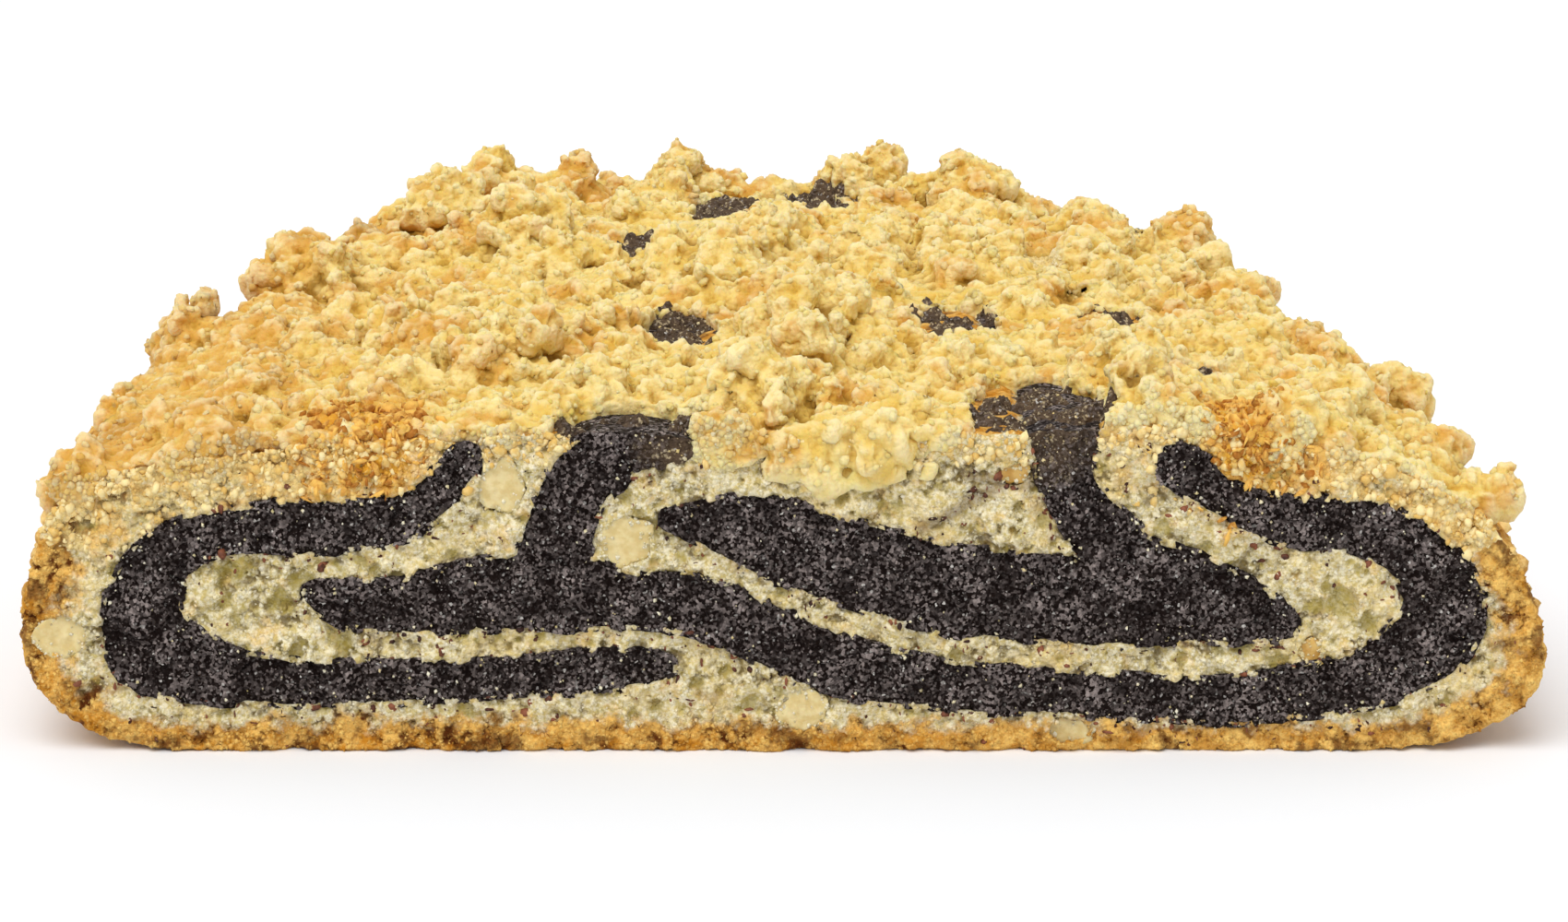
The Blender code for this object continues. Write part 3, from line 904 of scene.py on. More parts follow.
def roughen(mesh: Mesh, share: np.ndarray, amount: float, size: float) -> None:
    """Pushes vertices in and out along their normals by a granular noise, and none below the ground.

    Args:
        mesh: the mesh.
        share: how much of the push each vertex takes.
        amount: the full push.
        size: how wide a grain is.
    """
    normals = np.array([normal.vector for normal in mesh.vertex_normals])
    for vertex, normal, part in zip(mesh.vertices, normals, share):
        if part > 0:
            at = vertex.co / size
            push = noise.fractal(at, *ROUGH_OCTAVES) + 0.5 - noise.voronoi(at * 0.7)[0][0]
            vertex.co += Vector(normal) * float(push * amount * part)
            vertex.co.z = max(vertex.co.z, 0.0)


def new_piece(name: str, mesh: Mesh,
              material: Material | None = None) -> Object:
    """An object at the origin for a mesh, linked to the scene.

    Args:
        name: its name.
        mesh: its mesh.
        material: its only finish, or none where the mesh keeps its own.

    Returns:
        The object.
    """
    piece = bpy.data.objects.new(name, mesh)
    bpy.context.scene.collection.objects.link(piece)
    if material:
        mesh.materials.clear()
        mesh.materials.append(material)
    return piece


def hand_over(piece: Object, slot: Slot, *nodes: str) -> None:
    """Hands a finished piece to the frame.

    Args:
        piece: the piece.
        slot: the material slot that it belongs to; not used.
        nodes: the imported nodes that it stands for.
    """
    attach(piece, BODY)
    if nodes:
        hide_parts(*nodes)
    piece.data.calc_loop_triangles()
    log.info("%s: %d triangles", piece.name, len(piece.data.loop_triangles))


def surface_tree(meshes: list[Mesh]) -> BVHTree:
    """A tree for finding where a line meets any of some meshes.

    Args:
        meshes: the meshes.

    Returns:
        The tree.
    """
    solid = bmesh.new()
    for mesh in meshes:
        solid.from_mesh(mesh)
    tree = BVHTree.FromBMesh(solid)
    solid.free()
    return tree


def baked_mesh(piece: Object) -> Mesh:
    """The evaluated shape of a piece as a plain mesh.

    Args:
        piece: the piece, which is removed.

    Returns:
        The mesh.
    """
    graph = bpy.context.evaluated_depsgraph_get()
    mesh = bpy.data.meshes.new_from_object(piece.evaluated_get(graph))
    bpy.data.objects.remove(piece)
    return mesh


# The torn surface of the cut


@dataclass(frozen=True)
class Pit:
    """A hollow in the cut face: its middle, radius and depth, in metres."""

    x: float
    z: float
    radius: float
    depth: float


@dataclass(frozen=True)
class Smear:
    """A thin smear of filling on the cut, from one point to another, as x and z."""

    start: tuple[float, float]
    end: tuple[float, float]

    def away(self, points: np.ndarray) -> np.ndarray:
        """How far points of the cut are from the smear's line.

        Args:
            points: x and z of each.

        Returns:
            The distances.
        """
        start, run = np.array(self.start), np.subtract(self.end, self.start)
        share = np.clip((points - start) @ run / (run @ run), 0, 1)[:, None]
        return np.hypot(*(points - start - share * run).T)


@dataclass(frozen=True)
class ToastedPlace:
    """A place near the cut's upper edge that the heat browned.

    It has its middle and its radius there. In the streusel above, its middle lies a depth behind
    the cut.
    """

    x: float
    z: float
    radius: float
    depth: float = 5 * MM

    def share(self, points: np.ndarray) -> np.ndarray:
        """How toasted points of the cut are."""
        return np.clip(1.3 * (1 - np.hypot(*(points - (self.x, self.z)).T) / self.radius), 0, 1)


SMEARS = (
    Smear(mm(26.5, 31.8), mm(15.0, 25.3)),
    Smear(mm(20.0, 31.0), mm(26.5, 30.0)),
)
TOASTED = (ToastedPlace(*mm(-45, 33, 9.5)), ToastedPlace(*mm(50, 33, 9)))
DRIED = (ToastedPlace(*mm(-11.6, 34.6, 5.5)), ToastedPlace(*mm(27.5, 38.0, 9.0)))


@dataclass(frozen=True)
class TornFace:
    """The torn surface of a cut: rounded crumbs, the gaps between them and open pores."""

    dome: float
    size: float
    wave: float
    pits: tuple[Pit, ...] = ()

    BRIM = 0.75
    FINER = 2.2
    FINE_SHARE = 0.5
    LEVEL = 0.6
    PATCH = 3.2
    SWELL = 4
    PIT_REACH = 1.7
    PIT_BEND = 0.7

    def heights(self, points: np.ndarray) -> tuple[np.ndarray, np.ndarray, np.ndarray]:
        """The torn surface at points of the cut.

        Args:
            points: x and z of each.

        Returns:
            How far inwards each point lies, how far it is in a gap, and how far in a pore.
        """
        depth, gap = np.empty(len(points)), np.empty(len(points))
        for number, (x, z) in enumerate(points):
            at = Vector((x, 0.0, z))
            loose = 0.75 + 0.9 * noise.noise(at / (self.PATCH * self.size))
            coarse = min(1.0, noise.voronoi(at / self.size)[0][0] / self.BRIM) ** 2
            fine = min(1.0, noise.voronoi(at * self.FINER / self.size)[0][0] / self.BRIM) ** 2
            rise = noise.fractal(at / (self.SWELL * self.size), 0.9, 2.1, 4)
            relief = coarse + self.FINE_SHARE * fine - self.LEVEL
            depth[number] = self.dome * loose * relief + self.wave * rise
            gap[number] = loose * (0.65 * coarse + 0.35 * fine) + 0.35 * rise
        opened = np.zeros(len(points))
        for number, pit in enumerate(self.pits):
            span = points - (pit.x, pit.z)
            for index in np.flatnonzero(np.hypot(span[:, 0], span[:, 1]) < self.PIT_REACH * pit.radius):
                at = Vector((points[index, 0], number * pit.radius, points[index, 1]))
                bend = self.PIT_BEND * noise.noise(at / (0.7 * pit.radius + 0.2 * MM))
                away = math.hypot(*span[index]) / pit.radius * (1 + bend)
                if away < 1:
                    hollow = math.sqrt(1 - away * away)
                    depth[index] = max(depth[index], pit.depth * hollow)
                    opened[index] = max(opened[index], min(1.0, 1.5 * hollow))
        return depth, np.clip(gap, 0, 1), opened


def scattered_pits(box: Range, count: int, radii: tuple[float, float],
                   seed: int) -> tuple[Pit, ...]:
    """Pores scattered over a rectangle of the cut.

    Args:
        box: its lowest and highest x, then z.
        count: how many there are.
        radii: the smallest and largest radius.
        seed: what the random draw starts from.

    Returns:
        The pores.
    """
    draw = np.random.default_rng(seed)
    sizes = radii[0] + (radii[1] - radii[0]) * draw.random(count) ** 2.5
    xs, zs = draw.uniform(box[0], box[1], count), draw.uniform(box[2], box[3], count)
    return tuple(Pit(x, z, r, 0.7 * r + 0.1 * MM) for x, z, r in zip(xs, zs, sizes))


FILL_JITTER = 0.28
FILL_MARGIN = 0.6


def fill_section(outlines: list[np.ndarray], step: float, seed: int) -> tuple[np.ndarray, list]:
    """Triangulates the inside of a section, with points every step.

    Args:
        outlines: closed outlines, the outer one and the holes alike.
        step: the distance between the points inside.
        seed: what their jitter starts from.

    Returns:
        The points, which start with the outlines' own in order, and the triangles.
    """
    border = np.vstack(outlines)
    low, high = border.min(0), border.max(0)
    rows = np.arange(low[1], high[1], step * math.sqrt(0.75))
    columns = np.arange(low[0], high[0], step)
    grid = np.array([(x + row % 2 * step / 2, z) for row, z in enumerate(rows) for x in columns])
    grid += np.random.default_rng(seed).uniform(-FILL_JITTER, FILL_JITTER, grid.shape) * step
    grid = grid[inside(grid, outlines)]
    grid = grid[closest(grid, border)[0] > FILL_MARGIN * step]
    edges, first = [], 0
    for outline in outlines:
        ring = list(range(first, first + len(outline)))
        edges += list(zip(ring, ring[1:] + ring[:1]))
        first += len(outline)
    flat = np.vstack([border, grid])
    found = geometry.delaunay_2d_cdt([Vector(point) for point in flat / MM], edges, [], 0, 1e-6)
    made, faces, sources = np.array(found[0]) * MM, found[2], found[3]
    order = np.array([source[0] if source else -1 for source in sources])
    strays = np.flatnonzero(order < 0)
    if len(strays):
        log.warning("an outline crosses itself at %s", made[strays])
        order[strays] = len(flat) + np.arange(len(strays))
        flat = np.vstack([flat, made[strays]])
    faces = np.array([face for face in faces if len(face) == 3])
    faces = faces[inside(made[faces].mean(axis=1), outlines)]
    return flat, [tuple(int(order[i]) for i in face) for face in faces]


# The dough and its filling


@dataclass
class CutPiece:
    """A piece that the knife went through, carried along the loaf from its outline at the cut."""

    form: LoafForm
    frame: dict
    step: float = 0.40 * MM
    fill_step: float = 0.36 * MM
    rim_depth: float = 0.45 * MM
    ragged_by: float = 0.26 * MM
    ragged_size: float = 1.5 * MM

    def outlines(self, node: str) -> list[Outline]:
        """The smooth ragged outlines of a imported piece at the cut.

        Args:
            node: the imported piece.

        Returns:
            Its outlines, the outer one first.
        """
        loops = Outline.loops(self.frame["nodes"][node], self.form)
        smooth = [Outline.smooth(loop, self.step) for loop in loops]
        return [Outline(self.torn(outline.points), outline.corners) for outline in smooth]

    def torn(self, points: np.ndarray) -> np.ndarray:
        """Points of the cut pushed about by a noise that every piece shares where it passes.

        Args:
            points: x and z of each.

        Returns:
            The moved points.
        """
        moved = np.array(points)
        for number, (x, z) in enumerate(points):
            at = Vector((x, 0.0, z)) / self.ragged_size
            push = noise.noise_vector(at) + 0.6 * noise.noise_vector(at * 2.3)
            push += 1.2 * noise.noise_vector(at * 0.3)
            moved[number] += self.ragged_by * np.array((push.x, push.z * min(1.0, z / (2 * MM))))
        moved[:, 1] = np.maximum(moved[:, 1], 0.0)
        return moved

    def picks(self, outline: Outline, spacing: np.ndarray) -> np.ndarray:
        """Which points of an outline a coarser ring keeps.

        Args:
            outline: the fine outline.
            spacing: how far apart the kept points may be, at each point.

        Returns:
            The numbers of the kept points.
        """
        gaps = np.hypot(*(outline.points - np.roll(outline.points, 1, axis=0)).T)
        kept, run = [], np.inf
        for number, gap in enumerate(gaps):
            run += gap
            if run >= spacing[number] or outline.corners[number]:
                kept.append(number)
                run = 0.0
        return np.array(kept)


@dataclass
class ChoppedBit(CutPiece):
    """A chopped almond or a piece of peel, cut flat by the knife."""

    bulge: float = 0.75 * MM
    reach: float = 2.0 * MM
    back: float = 0.75
    uneven_by: float = 1.1 * MM
    uneven_size: float = 2.9 * MM
    set_in: float = 0.15 * MM
    crumbs: float = 0.6 * MM
    face: TornFace = TornFace(*mm(0.16, 1.4, 0.30))
    fill_seed: int = 7

    def build(self, node: str, slot: Slot, material: Material) -> Object:
        """Builds one bit in its pocket.

        Args:
            node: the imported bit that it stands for.
            slot: its material slot.
            material: its finish.

        Returns:
            The bit.
        """
        outline = self.outlines(node)[0].grown(self.bulge)
        for point, normal in zip(outline.points, outline.normals()):
            push = noise.noise(Vector((point[0], 0.0, point[1])) / self.uneven_size)
            point += normal * self.uneven_by * push
        flat, faces = fill_section([outline.points], self.fill_step, self.fill_seed)
        shape = Shape()
        ring = np.arange(len(outline.points))
        depth, gap, _ = self.face.heights(flat)
        depth += self.set_in
        rim_share = np.exp(-closest(flat, outline.points)[0] / self.crumbs)
        # painted shade: the gaps of the torn face are stored for the bit's material to paint darker
        shape.add(self.form.place(flat, depth), {Trait.CAVITY: gap, Trait.COARSE: rim_share})
        shape.faces += faces
        middle = outline.points.mean(axis=0)
        waist = shape.add(self.form.place(outline.points, depth[ring] + 0.5 * self.reach))
        foot = middle + (outline.points - middle) * self.back
        end = shape.add(self.form.place(foot, self.reach))
        shape.band(ring, waist)
        shape.band(waist, end)
        shape.cap(end, foot)
        piece = new_piece(f"{node}_cut", shape.mesh(node), material)
        hand_over(piece, slot, node)
        return piece


@dataclass
class PoppyRun(CutPiece):
    """A run of ground poppy seed filling."""

    growth: float = 0.95 * MM
    face: TornFace = TornFace(*mm(0.55, 0.9, 0.85))
    fuzz: float = 0.8 * MM
    wall_spacing: float = 2.5 * MM
    wall_from: float = 2 * MM
    station_step: float = 2.2 * MM
    fill_seed: int = 11

    def build(self, node: str, material: Material) -> Object:
        """Builds one run of filling.

        Args:
            node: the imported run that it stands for.
            material: its finish.

        Returns:
            The run.
        """
        outline = self.outlines(node)[0].grown(self.growth)
        flat, faces = fill_section([outline.points], self.fill_step, self.fill_seed)
        depth, gap, _ = self.face.heights(flat)
        shape = Shape()
        fuzz = np.exp(-closest(flat, self.outlines(node)[0].points)[0] / self.fuzz)
        dry = np.max([place.share(flat) for place in DRIED], axis=0)
        # painted shade: the gaps of the torn face are stored for the filling's material to paint darker
        traits = {Trait.CAVITY: gap, Trait.COARSE: 1.0, Trait.SPECK: fuzz, Trait.BROWN: dry}
        shape.add(self.form.place(flat, depth), traits)
        shape.faces += faces
        rim = np.arange(len(outline.points))
        near = shape.add(self.form.place(outline.points, depth[rim] + self.rim_depth))
        shape.band(rim, near)
        picked = self.picks(outline, np.full(len(outline.points), self.wall_spacing))
        coarse = Outline(outline.points[picked], outline.corners[picked])
        ring = shape.add(self.form.place(coarse.points, self.wall_from))
        shape.thinning_band(near, ring, picked)
        for station in self.form.stations(self.wall_from, self.form.filling_length, self.station_step)[1:]:
            further = shape.add(self.form.place(coarse.points, station))
            shape.band(ring, further)
            ring = further
        shape.cap(ring, coarse.points)
        piece = new_piece(f"{node}_filling", shape.mesh(node), material)
        hand_over(piece, Slot.FILLING, node)
        return piece


@dataclass
class SweetDough(CutPiece):
    """The dough: crumb at the cut with its folds of filling, crust all round."""

    node: str = "sweet_dough"
    fill_step: float = 0.34 * MM
    dome: float = 0.68 * MM
    crumb_size: float = 1.15 * MM
    wave: float = 0.95 * MM
    side_spacing: float = 0.65 * MM
    flat_spacing: float = 2.0 * MM
    channel_spacing: float = 4.5 * MM
    wall_from: float = 3.0 * MM
    station_step: float = 1.1 * MM
    channel_gap: float = 0.45 * MM
    channel_near: float = 0.80 * MM
    channel_breaks: float = 2.5 * MM
    pocket_depth: float = 2.5 * MM
    side_from: float = 1.5 * MM
    side_to: float = 24 * MM
    crust_below: float = 4.8 * MM
    crust_beside: float = 6.4 * MM
    crust_above: float = 7.0 * MM
    crust_above_share: float = 0.20
    warm_inside: float = 0.15
    paler_right: float = 0.80
    shoulders: tuple[float, float] = mm(30, 48)
    stain_reach: float = 0.45 * MM
    speck_reach: float = 1.4 * MM
    speck_share_above: float = 0.30
    speck_cluster: float = 2.2 * MM
    smear_width: float = 0.7 * MM
    coarse_inside: float = 0.50
    seam_width: float = 2.2 * MM
    lift: float = 0.9 * MM
    lift_taper: int = 9
    rounding: float = 0.55 * MM
    skin_grain: float = 0.34 * MM
    skin_grain_size: float = 1.3 * MM
    upper_skin_from: float = 12 * MM
    upper_skin_over: float = 9 * MM
    fill_seed: int = 3
    pore_box: Range = mm(-80, 80, 1, 34)
    pore_count: int = 900
    pore_radii: tuple[float, float] = mm(0.25, 1.0)
    pore_seed: int = 5
    named_pits: tuple[Pit, ...] = (
        Pit(*mm(-59.7, 20.3, 1.7, 1.0)),
        Pit(*mm(-54.7, 17.0, 1.5, 0.9)),
        Pit(*mm(-47.8, 12.5, 1.4, 0.9)),
        Pit(*mm(-15.2, 25.5, 1.6, 1.0)),
        Pit(*mm(-8.9, 18.2, 1.3, 0.9)),
        Pit(*mm(59.9, 17.0, 1.9, 1.1)),
        Pit(*mm(63.2, 14.6, 1.2, 0.8)),
        Pit(*mm(53.9, 9.9, 1.3, 0.9)),
    )

    def build(self, fillings: list[np.ndarray], material: Material) -> Object:
        """Builds the dough.

        Args:
            fillings: the outlines of the filling at the cut, before they are torn.
            material: its finish.

        Returns:
            The dough.
        """
        form = self.form
        main, *pockets = self.outlines(self.node)
        edge = np.vstack([self.torn(outline) for outline in fillings])
        channel = self.channels(main, edge)
        main.points[:, 1] += self.lift * self.topside(main, channel)
        shape = Shape()
        self.front(shape, main, pockets, edge, channel)
        rim = np.arange(len(main.points))
        depth = np.vstack(shape.points)[rim, 1] - form.front
        skin = {Trait.SKIN: np.where(channel, 0.0, 1.0), Trait.CRUST: np.where(channel, 0.0, 1.0)}
        ring = rim
        for further in (self.rim_depth, 2.6 * self.rim_depth):
            near = shape.add(form.place(main.points, depth + further), skin)
            shape.band(ring, near)
            ring = near
        side = (main.points[:, 1] > self.side_from) & (main.points[:, 1] < self.side_to)
        spacing = np.where(side, self.side_spacing, self.flat_spacing)
        spacing = np.where(channel, self.channel_spacing, spacing)
        picked = self.picks(main, spacing)
        coarse, coarse_channel = main.points[picked], channel[picked]
        skin = {trait: values[picked] for trait, values in skin.items()}
        outer = shape.add(form.place(coarse, self.wall_from), skin)
        shape.thinning_band(ring, outer, picked)
        last = form.filling_length + self.channel_gap
        for station in form.stations(self.wall_from, last, self.station_step)[1:]:
            further = shape.add(form.place(coarse, station), skin)
            shape.band(outer, further)
            outer = further
        self.close_channels(shape, outer, coarse, coarse_channel)
        self.round_end(shape, outer[~coarse_channel], coarse[~coarse_channel])
        mesh = shape.mesh(self.node)
        skin_share = marked(mesh, Trait.SKIN)
        heights = np.array([vertex.co.z for vertex in mesh.vertices])
        upper = np.clip((heights - self.upper_skin_from) / self.upper_skin_over, 0, 1)
        mark(mesh, Trait.SHOULDER, skin_share * upper**2)
        roughen(mesh, skin_share, self.skin_grain, self.skin_grain_size)
        piece = new_piece("dough_loaf", mesh, material)
        hand_over(piece, Slot.DOUGH, self.node)
        return piece

    def topside(self, main: Outline, channel: np.ndarray) -> np.ndarray:
        """How far each point of the outline belongs to the top, fading towards the channels.

        Args:
            main: the dough's outline.
            channel: which of its points line a channel.

        Returns:
            A share for each point.
        """
        share = ((main.points[:, 1] > self.side_to) & ~channel).astype(float)
        for _ in range(self.lift_taper):
            share = np.minimum(share, (np.roll(share, 1) + share + np.roll(share, -1)) / 3)
        return share

    def channels(self, main: Outline, edge: np.ndarray) -> np.ndarray:
        """Which points of the dough's outline line a channel of filling.

        Args:
            main: the dough's outline.
            edge: points along the filling's edges.

        Returns:
            True for each point that does.
        """
        flags = closest(main.points, edge)[0] < self.channel_near
        gap = round(self.channel_breaks / self.step)
        for start, length in cyclic_runs(~flags):
            if length <= gap:
                flags[np.arange(start, start + length) % len(flags)] = True
        for start, length in cyclic_runs(flags):
            if length <= gap:
                flags[np.arange(start, start + length) % len(flags)] = False
        log.info("dough: %d channels of filling", len(cyclic_runs(flags)))
        return flags

    def front(self, shape: Shape, main: Outline, pockets: list[Outline], edge: np.ndarray,
              channel: np.ndarray) -> None:
        """Makes the torn face at the cut and the pockets of the chopped bits.

        Args:
            shape: what they are added to.
            main: the dough's outline with its channels.
            pockets: the outlines of the bits' pockets.
            edge: points along the filling's edges.
            channel: which points of the main outline line a channel.
        """
        loops = [main.points, *(pocket.points for pocket in pockets)]
        flat, faces = fill_section(loops, self.fill_step, self.fill_seed)
        pores = scattered_pits(self.pore_box, self.pore_count, self.pore_radii, self.pore_seed)
        pits = self.named_pits + pores
        depth, gap, opened = TornFace(self.dome, self.crumb_size, self.wave, pits).heights(flat)
        outer = main.points[~channel]
        thick = np.where(outer[:, 1] < self.side_from, self.crust_below, self.crust_beside)
        away, which = closest(flat, outer)
        top = outer[which, 1] > self.side_to
        across = np.abs(flat[:, 0])
        start, end = self.shoulders
        upper = np.clip((across - start) / (end - start), 0, 1) * np.clip(1.4 - away / self.crust_above, 0, 1)
        crust = np.where(top, self.crust_above_share * upper, np.clip(1 - away / thick[which], 0, 1))
        paler = self.paler_right * np.clip(flat[:, 0] / self.shoulders[1], 0, 1)
        depth += np.where(top, 0, self.rounding * np.clip(1 - away / self.rounding, 0, 1) ** 2)
        near, which = closest(flat, edge)
        smear = np.max([np.exp(-((line.away(flat) / self.smear_width) ** 2)) for line in SMEARS], axis=0)
        under = np.where(edge[which, 1] > flat[:, 1], 1.0, self.speck_share_above)
        toast = np.max([place.share(flat) for place in TOASTED], axis=0)
        cluster = [noise.noise(Vector((x, 0.0, z)) / self.speck_cluster) for x, z in flat]
        cluster = np.clip(0.8 + 1.6 * np.array(cluster), 0, 1)
        stain = np.exp(-near / (self.stain_reach * (0.7 + 1.1 * under * cluster)))
        seam = np.maximum(np.clip(1.5 - away / self.seam_width, 0, 1), 0.5 * upper)
        # painted shade: the gaps between the crumbs and the open pores are stored here for the dough's
        # material to paint darker
        traits = {
            Trait.CRUST: crust,
            Trait.GRAIN: paler * crust,
            Trait.CAVITY: gap,
            Trait.PORE: opened * (crust < 0.2),
            Trait.STAIN: np.maximum(stain, 1.5 * smear),
            Trait.SPECK: np.maximum(cluster * under * np.exp(-near / self.speck_reach), smear),
            Trait.TOAST: toast,
            Trait.BROWN: np.where(top, np.maximum(upper, self.warm_inside), self.warm_inside),
            Trait.COARSE: self.coarse_inside + (1 - self.coarse_inside) * np.clip(2.5 * crust, 0, 1),
            Trait.SEAM: np.where(top, seam, 0),
        }
        shape.add(self.form.place(flat, depth), traits)
        shape.faces += faces
        first = len(main.points)
        for pocket in pockets:
            rim = np.arange(first, first + len(pocket.points))
            end = shape.add(self.form.place(pocket.points, self.pocket_depth))
            shape.band(rim, end)
            shape.cap(end, pocket.points)
            first += len(pocket.points)

    def close_channels(self, shape: Shape, ring: np.ndarray, flat: np.ndarray, channel: np.ndarray) -> None:
        """Closes the far end of each channel.

        Args:
            shape: what the end walls are added to.
            ring: the last ring's points.
            flat: where they are in the section.
            channel: which of them line a channel.
        """
        for start, length in cyclic_runs(channel):
            members = np.arange(start - 1, start + length + 1) % len(ring)
            shape.cap(ring[members], flat[members])

    def round_end(self, shape: Shape, ring: np.ndarray, flat: np.ndarray) -> None:
        """Carries the outer outline on to the rounded end.

        Args:
            shape: what the end is added to.
            ring: the last ring's points, without the channels.
            flat: where they are in the section.
        """
        for station in self.form.end_stations():
            further = shape.add(self.form.place(flat, station), {Trait.SKIN: 1.0, Trait.CRUST: 1.0})
            shape.band(ring, further)
            ring = further
        shape.cap(ring, flat)


def cyclic_runs(flags: np.ndarray) -> list[tuple[int, int]]:
    """The runs of true values round a ring.

    Args:
        flags: the values.

    Returns:
        Where each run starts and how long it is.
    """
    starts = np.flatnonzero(flags & ~np.roll(flags, 1))
    ends = np.flatnonzero(flags & ~np.roll(flags, -1))
    return [(int(s), int(min((e - s) % len(flags) for e in ends) + 1)) for s in starts]


# Shapes written as Geometry Nodes


class ShapeWriter(TreeWriter):
    """Writes one Geometry Nodes tree, whose sizes are named inputs."""

    KINDS = {float: "NodeSocketFloat", int: "NodeSocketInt", Material: "NodeSocketMaterial"}
    MORE_SMALL = 1.8
    FLATTEST = 0.7

    def __init__(self, name: str, sizes: dict[str, float | int | Material]) -> None:
        """Makes the tree.

        Args:
            name: the tree's name.
            sizes: the value of each input, by name.
        """
        super().__init__(bpy.data.node_groups.new(name, "GeometryNodeTree"))
        face = self.tree.interface
        face.new_socket("Geometry", in_out="INPUT", socket_type="NodeSocketGeometry")
        face.new_socket("Geometry", in_out="OUTPUT", socket_type="NodeSocketGeometry")
        self.values = {}
        for label, value in sizes.items():
            socket = face.new_socket(label, in_out="INPUT", socket_type=self.KINDS[type(value)])
            self.values[socket.identifier] = value
        self.inputs = self.node("NodeGroupInput").outputs
        self.position = self.node("GeometryNodeInputPosition").outputs[0]
        self.x, self.y, self.z = self.node("ShaderNodeSeparateXYZ", {0: self.position}).outputs
        self.normal = self.node("GeometryNodeInputNormal").outputs[0]

    def combined(self, x: object, y: object, z: object) -> Socket:
        """A vector of three parts."""
        return self.node("ShaderNodeCombineXYZ", {0: x, 1: y, 2: z}).outputs[0]

    def measured(self, operation: str, first: object, second: object) -> Socket:
        """The number that one Vector Math node makes of two vectors."""
        return self.node("ShaderNodeVectorMath", {0: first, 1: second}, operation=operation).outputs["Value"]

    def shaken(self, scale: float, detail: float = 2.0, rough: float = 0.5) -> Socket:
        """A vector of three noises, each around one half."""
        feed = {"Scale": scale, "Detail": detail, "Roughness": rough}
        return self.node("ShaderNodeTexNoise", feed).outputs[1]

    def cells(self, at: Socket, size: object) -> Socket:
        """How far a place is from the middle of its cell, in cells of a size."""
        feed = {"Vector": at, "Scale": self.maths("DIVIDE", 1.0, size)}
        return self.node("ShaderNodeTexVoronoi", feed).outputs["Distance"]

    def real(self, instances: Socket) -> Socket:
        """Instances as plain geometry."""
        return self.node("GeometryNodeRealizeInstances", {0: instances}).outputs[0]

    def part(self, vector: Socket, axis: str) -> Socket:
        """One part of a vector, by its letter."""
        return self.node("ShaderNodeSeparateXYZ", {0: vector}).outputs[axis]

    def vector(self, operation: str, first: object, second: object) -> Socket:
        """The vector that one Vector Math node makes of two."""
        return self.node("ShaderNodeVectorMath", {0: first, 1: second}, operation=operation).outputs["Vector"]

    def scaled(self, vector: Socket, scale: object) -> Socket:
        """A vector times a number."""
        return self.node("ShaderNodeVectorMath", {0: vector, 3: scale}, operation="SCALE").outputs[0]

    def moved(self, geometry_in: Socket, offset: Socket) -> Socket:
        """Geometry whose points are moved by an offset."""
        return self.node("GeometryNodeSetPosition", {"Geometry": geometry_in, "Offset": offset}).outputs[0]

    def placed(self, geometry_in: Socket, place: Socket) -> Socket:
        """Geometry whose points are brought to a place."""
        return self.node("GeometryNodeSetPosition", {"Geometry": geometry_in, "Position": place}).outputs[0]

    def random(self, low: object, high: object, seed: object) -> Socket:
        """A random number for each element."""
        feed = {"Min": low, "Max": high, "Seed": seed}
        return self.node("FunctionNodeRandomValue", feed, data_type="FLOAT").outputs["Value"]

    def above(self, value: Socket, limit: float) -> Socket:
        """Whether a value is above a limit."""
        feed = {"A": value, "B": limit}
        return self.node("FunctionNodeCompare", feed, data_type="FLOAT", operation="GREATER_THAN").outputs[0]

    def blurred(self, value: Socket, rounds: int) -> Socket:
        """A vector spread over neighbouring points a number of times."""
        feed = {"Value": value, "Iterations": rounds}
        return self.node("GeometryNodeBlurAttribute", feed, data_type="FLOAT_VECTOR").outputs[0]

    def stored(self, geometry_in: Socket, trait: Trait, value: Socket) -> Socket:
        """Geometry with a trait stored on its points."""
        feed = {"Geometry": geometry_in, "Name": trait.value, "Value": value}
        return self.node("GeometryNodeStoreNamedAttribute", feed, data_type="FLOAT").outputs[0]

    def trait(self, trait: Trait) -> Socket:
        """A trait that the geometry carries."""
        feed = {"Name": trait.value}
        return self.node("GeometryNodeInputNamedAttribute", feed, data_type="FLOAT").outputs[0]

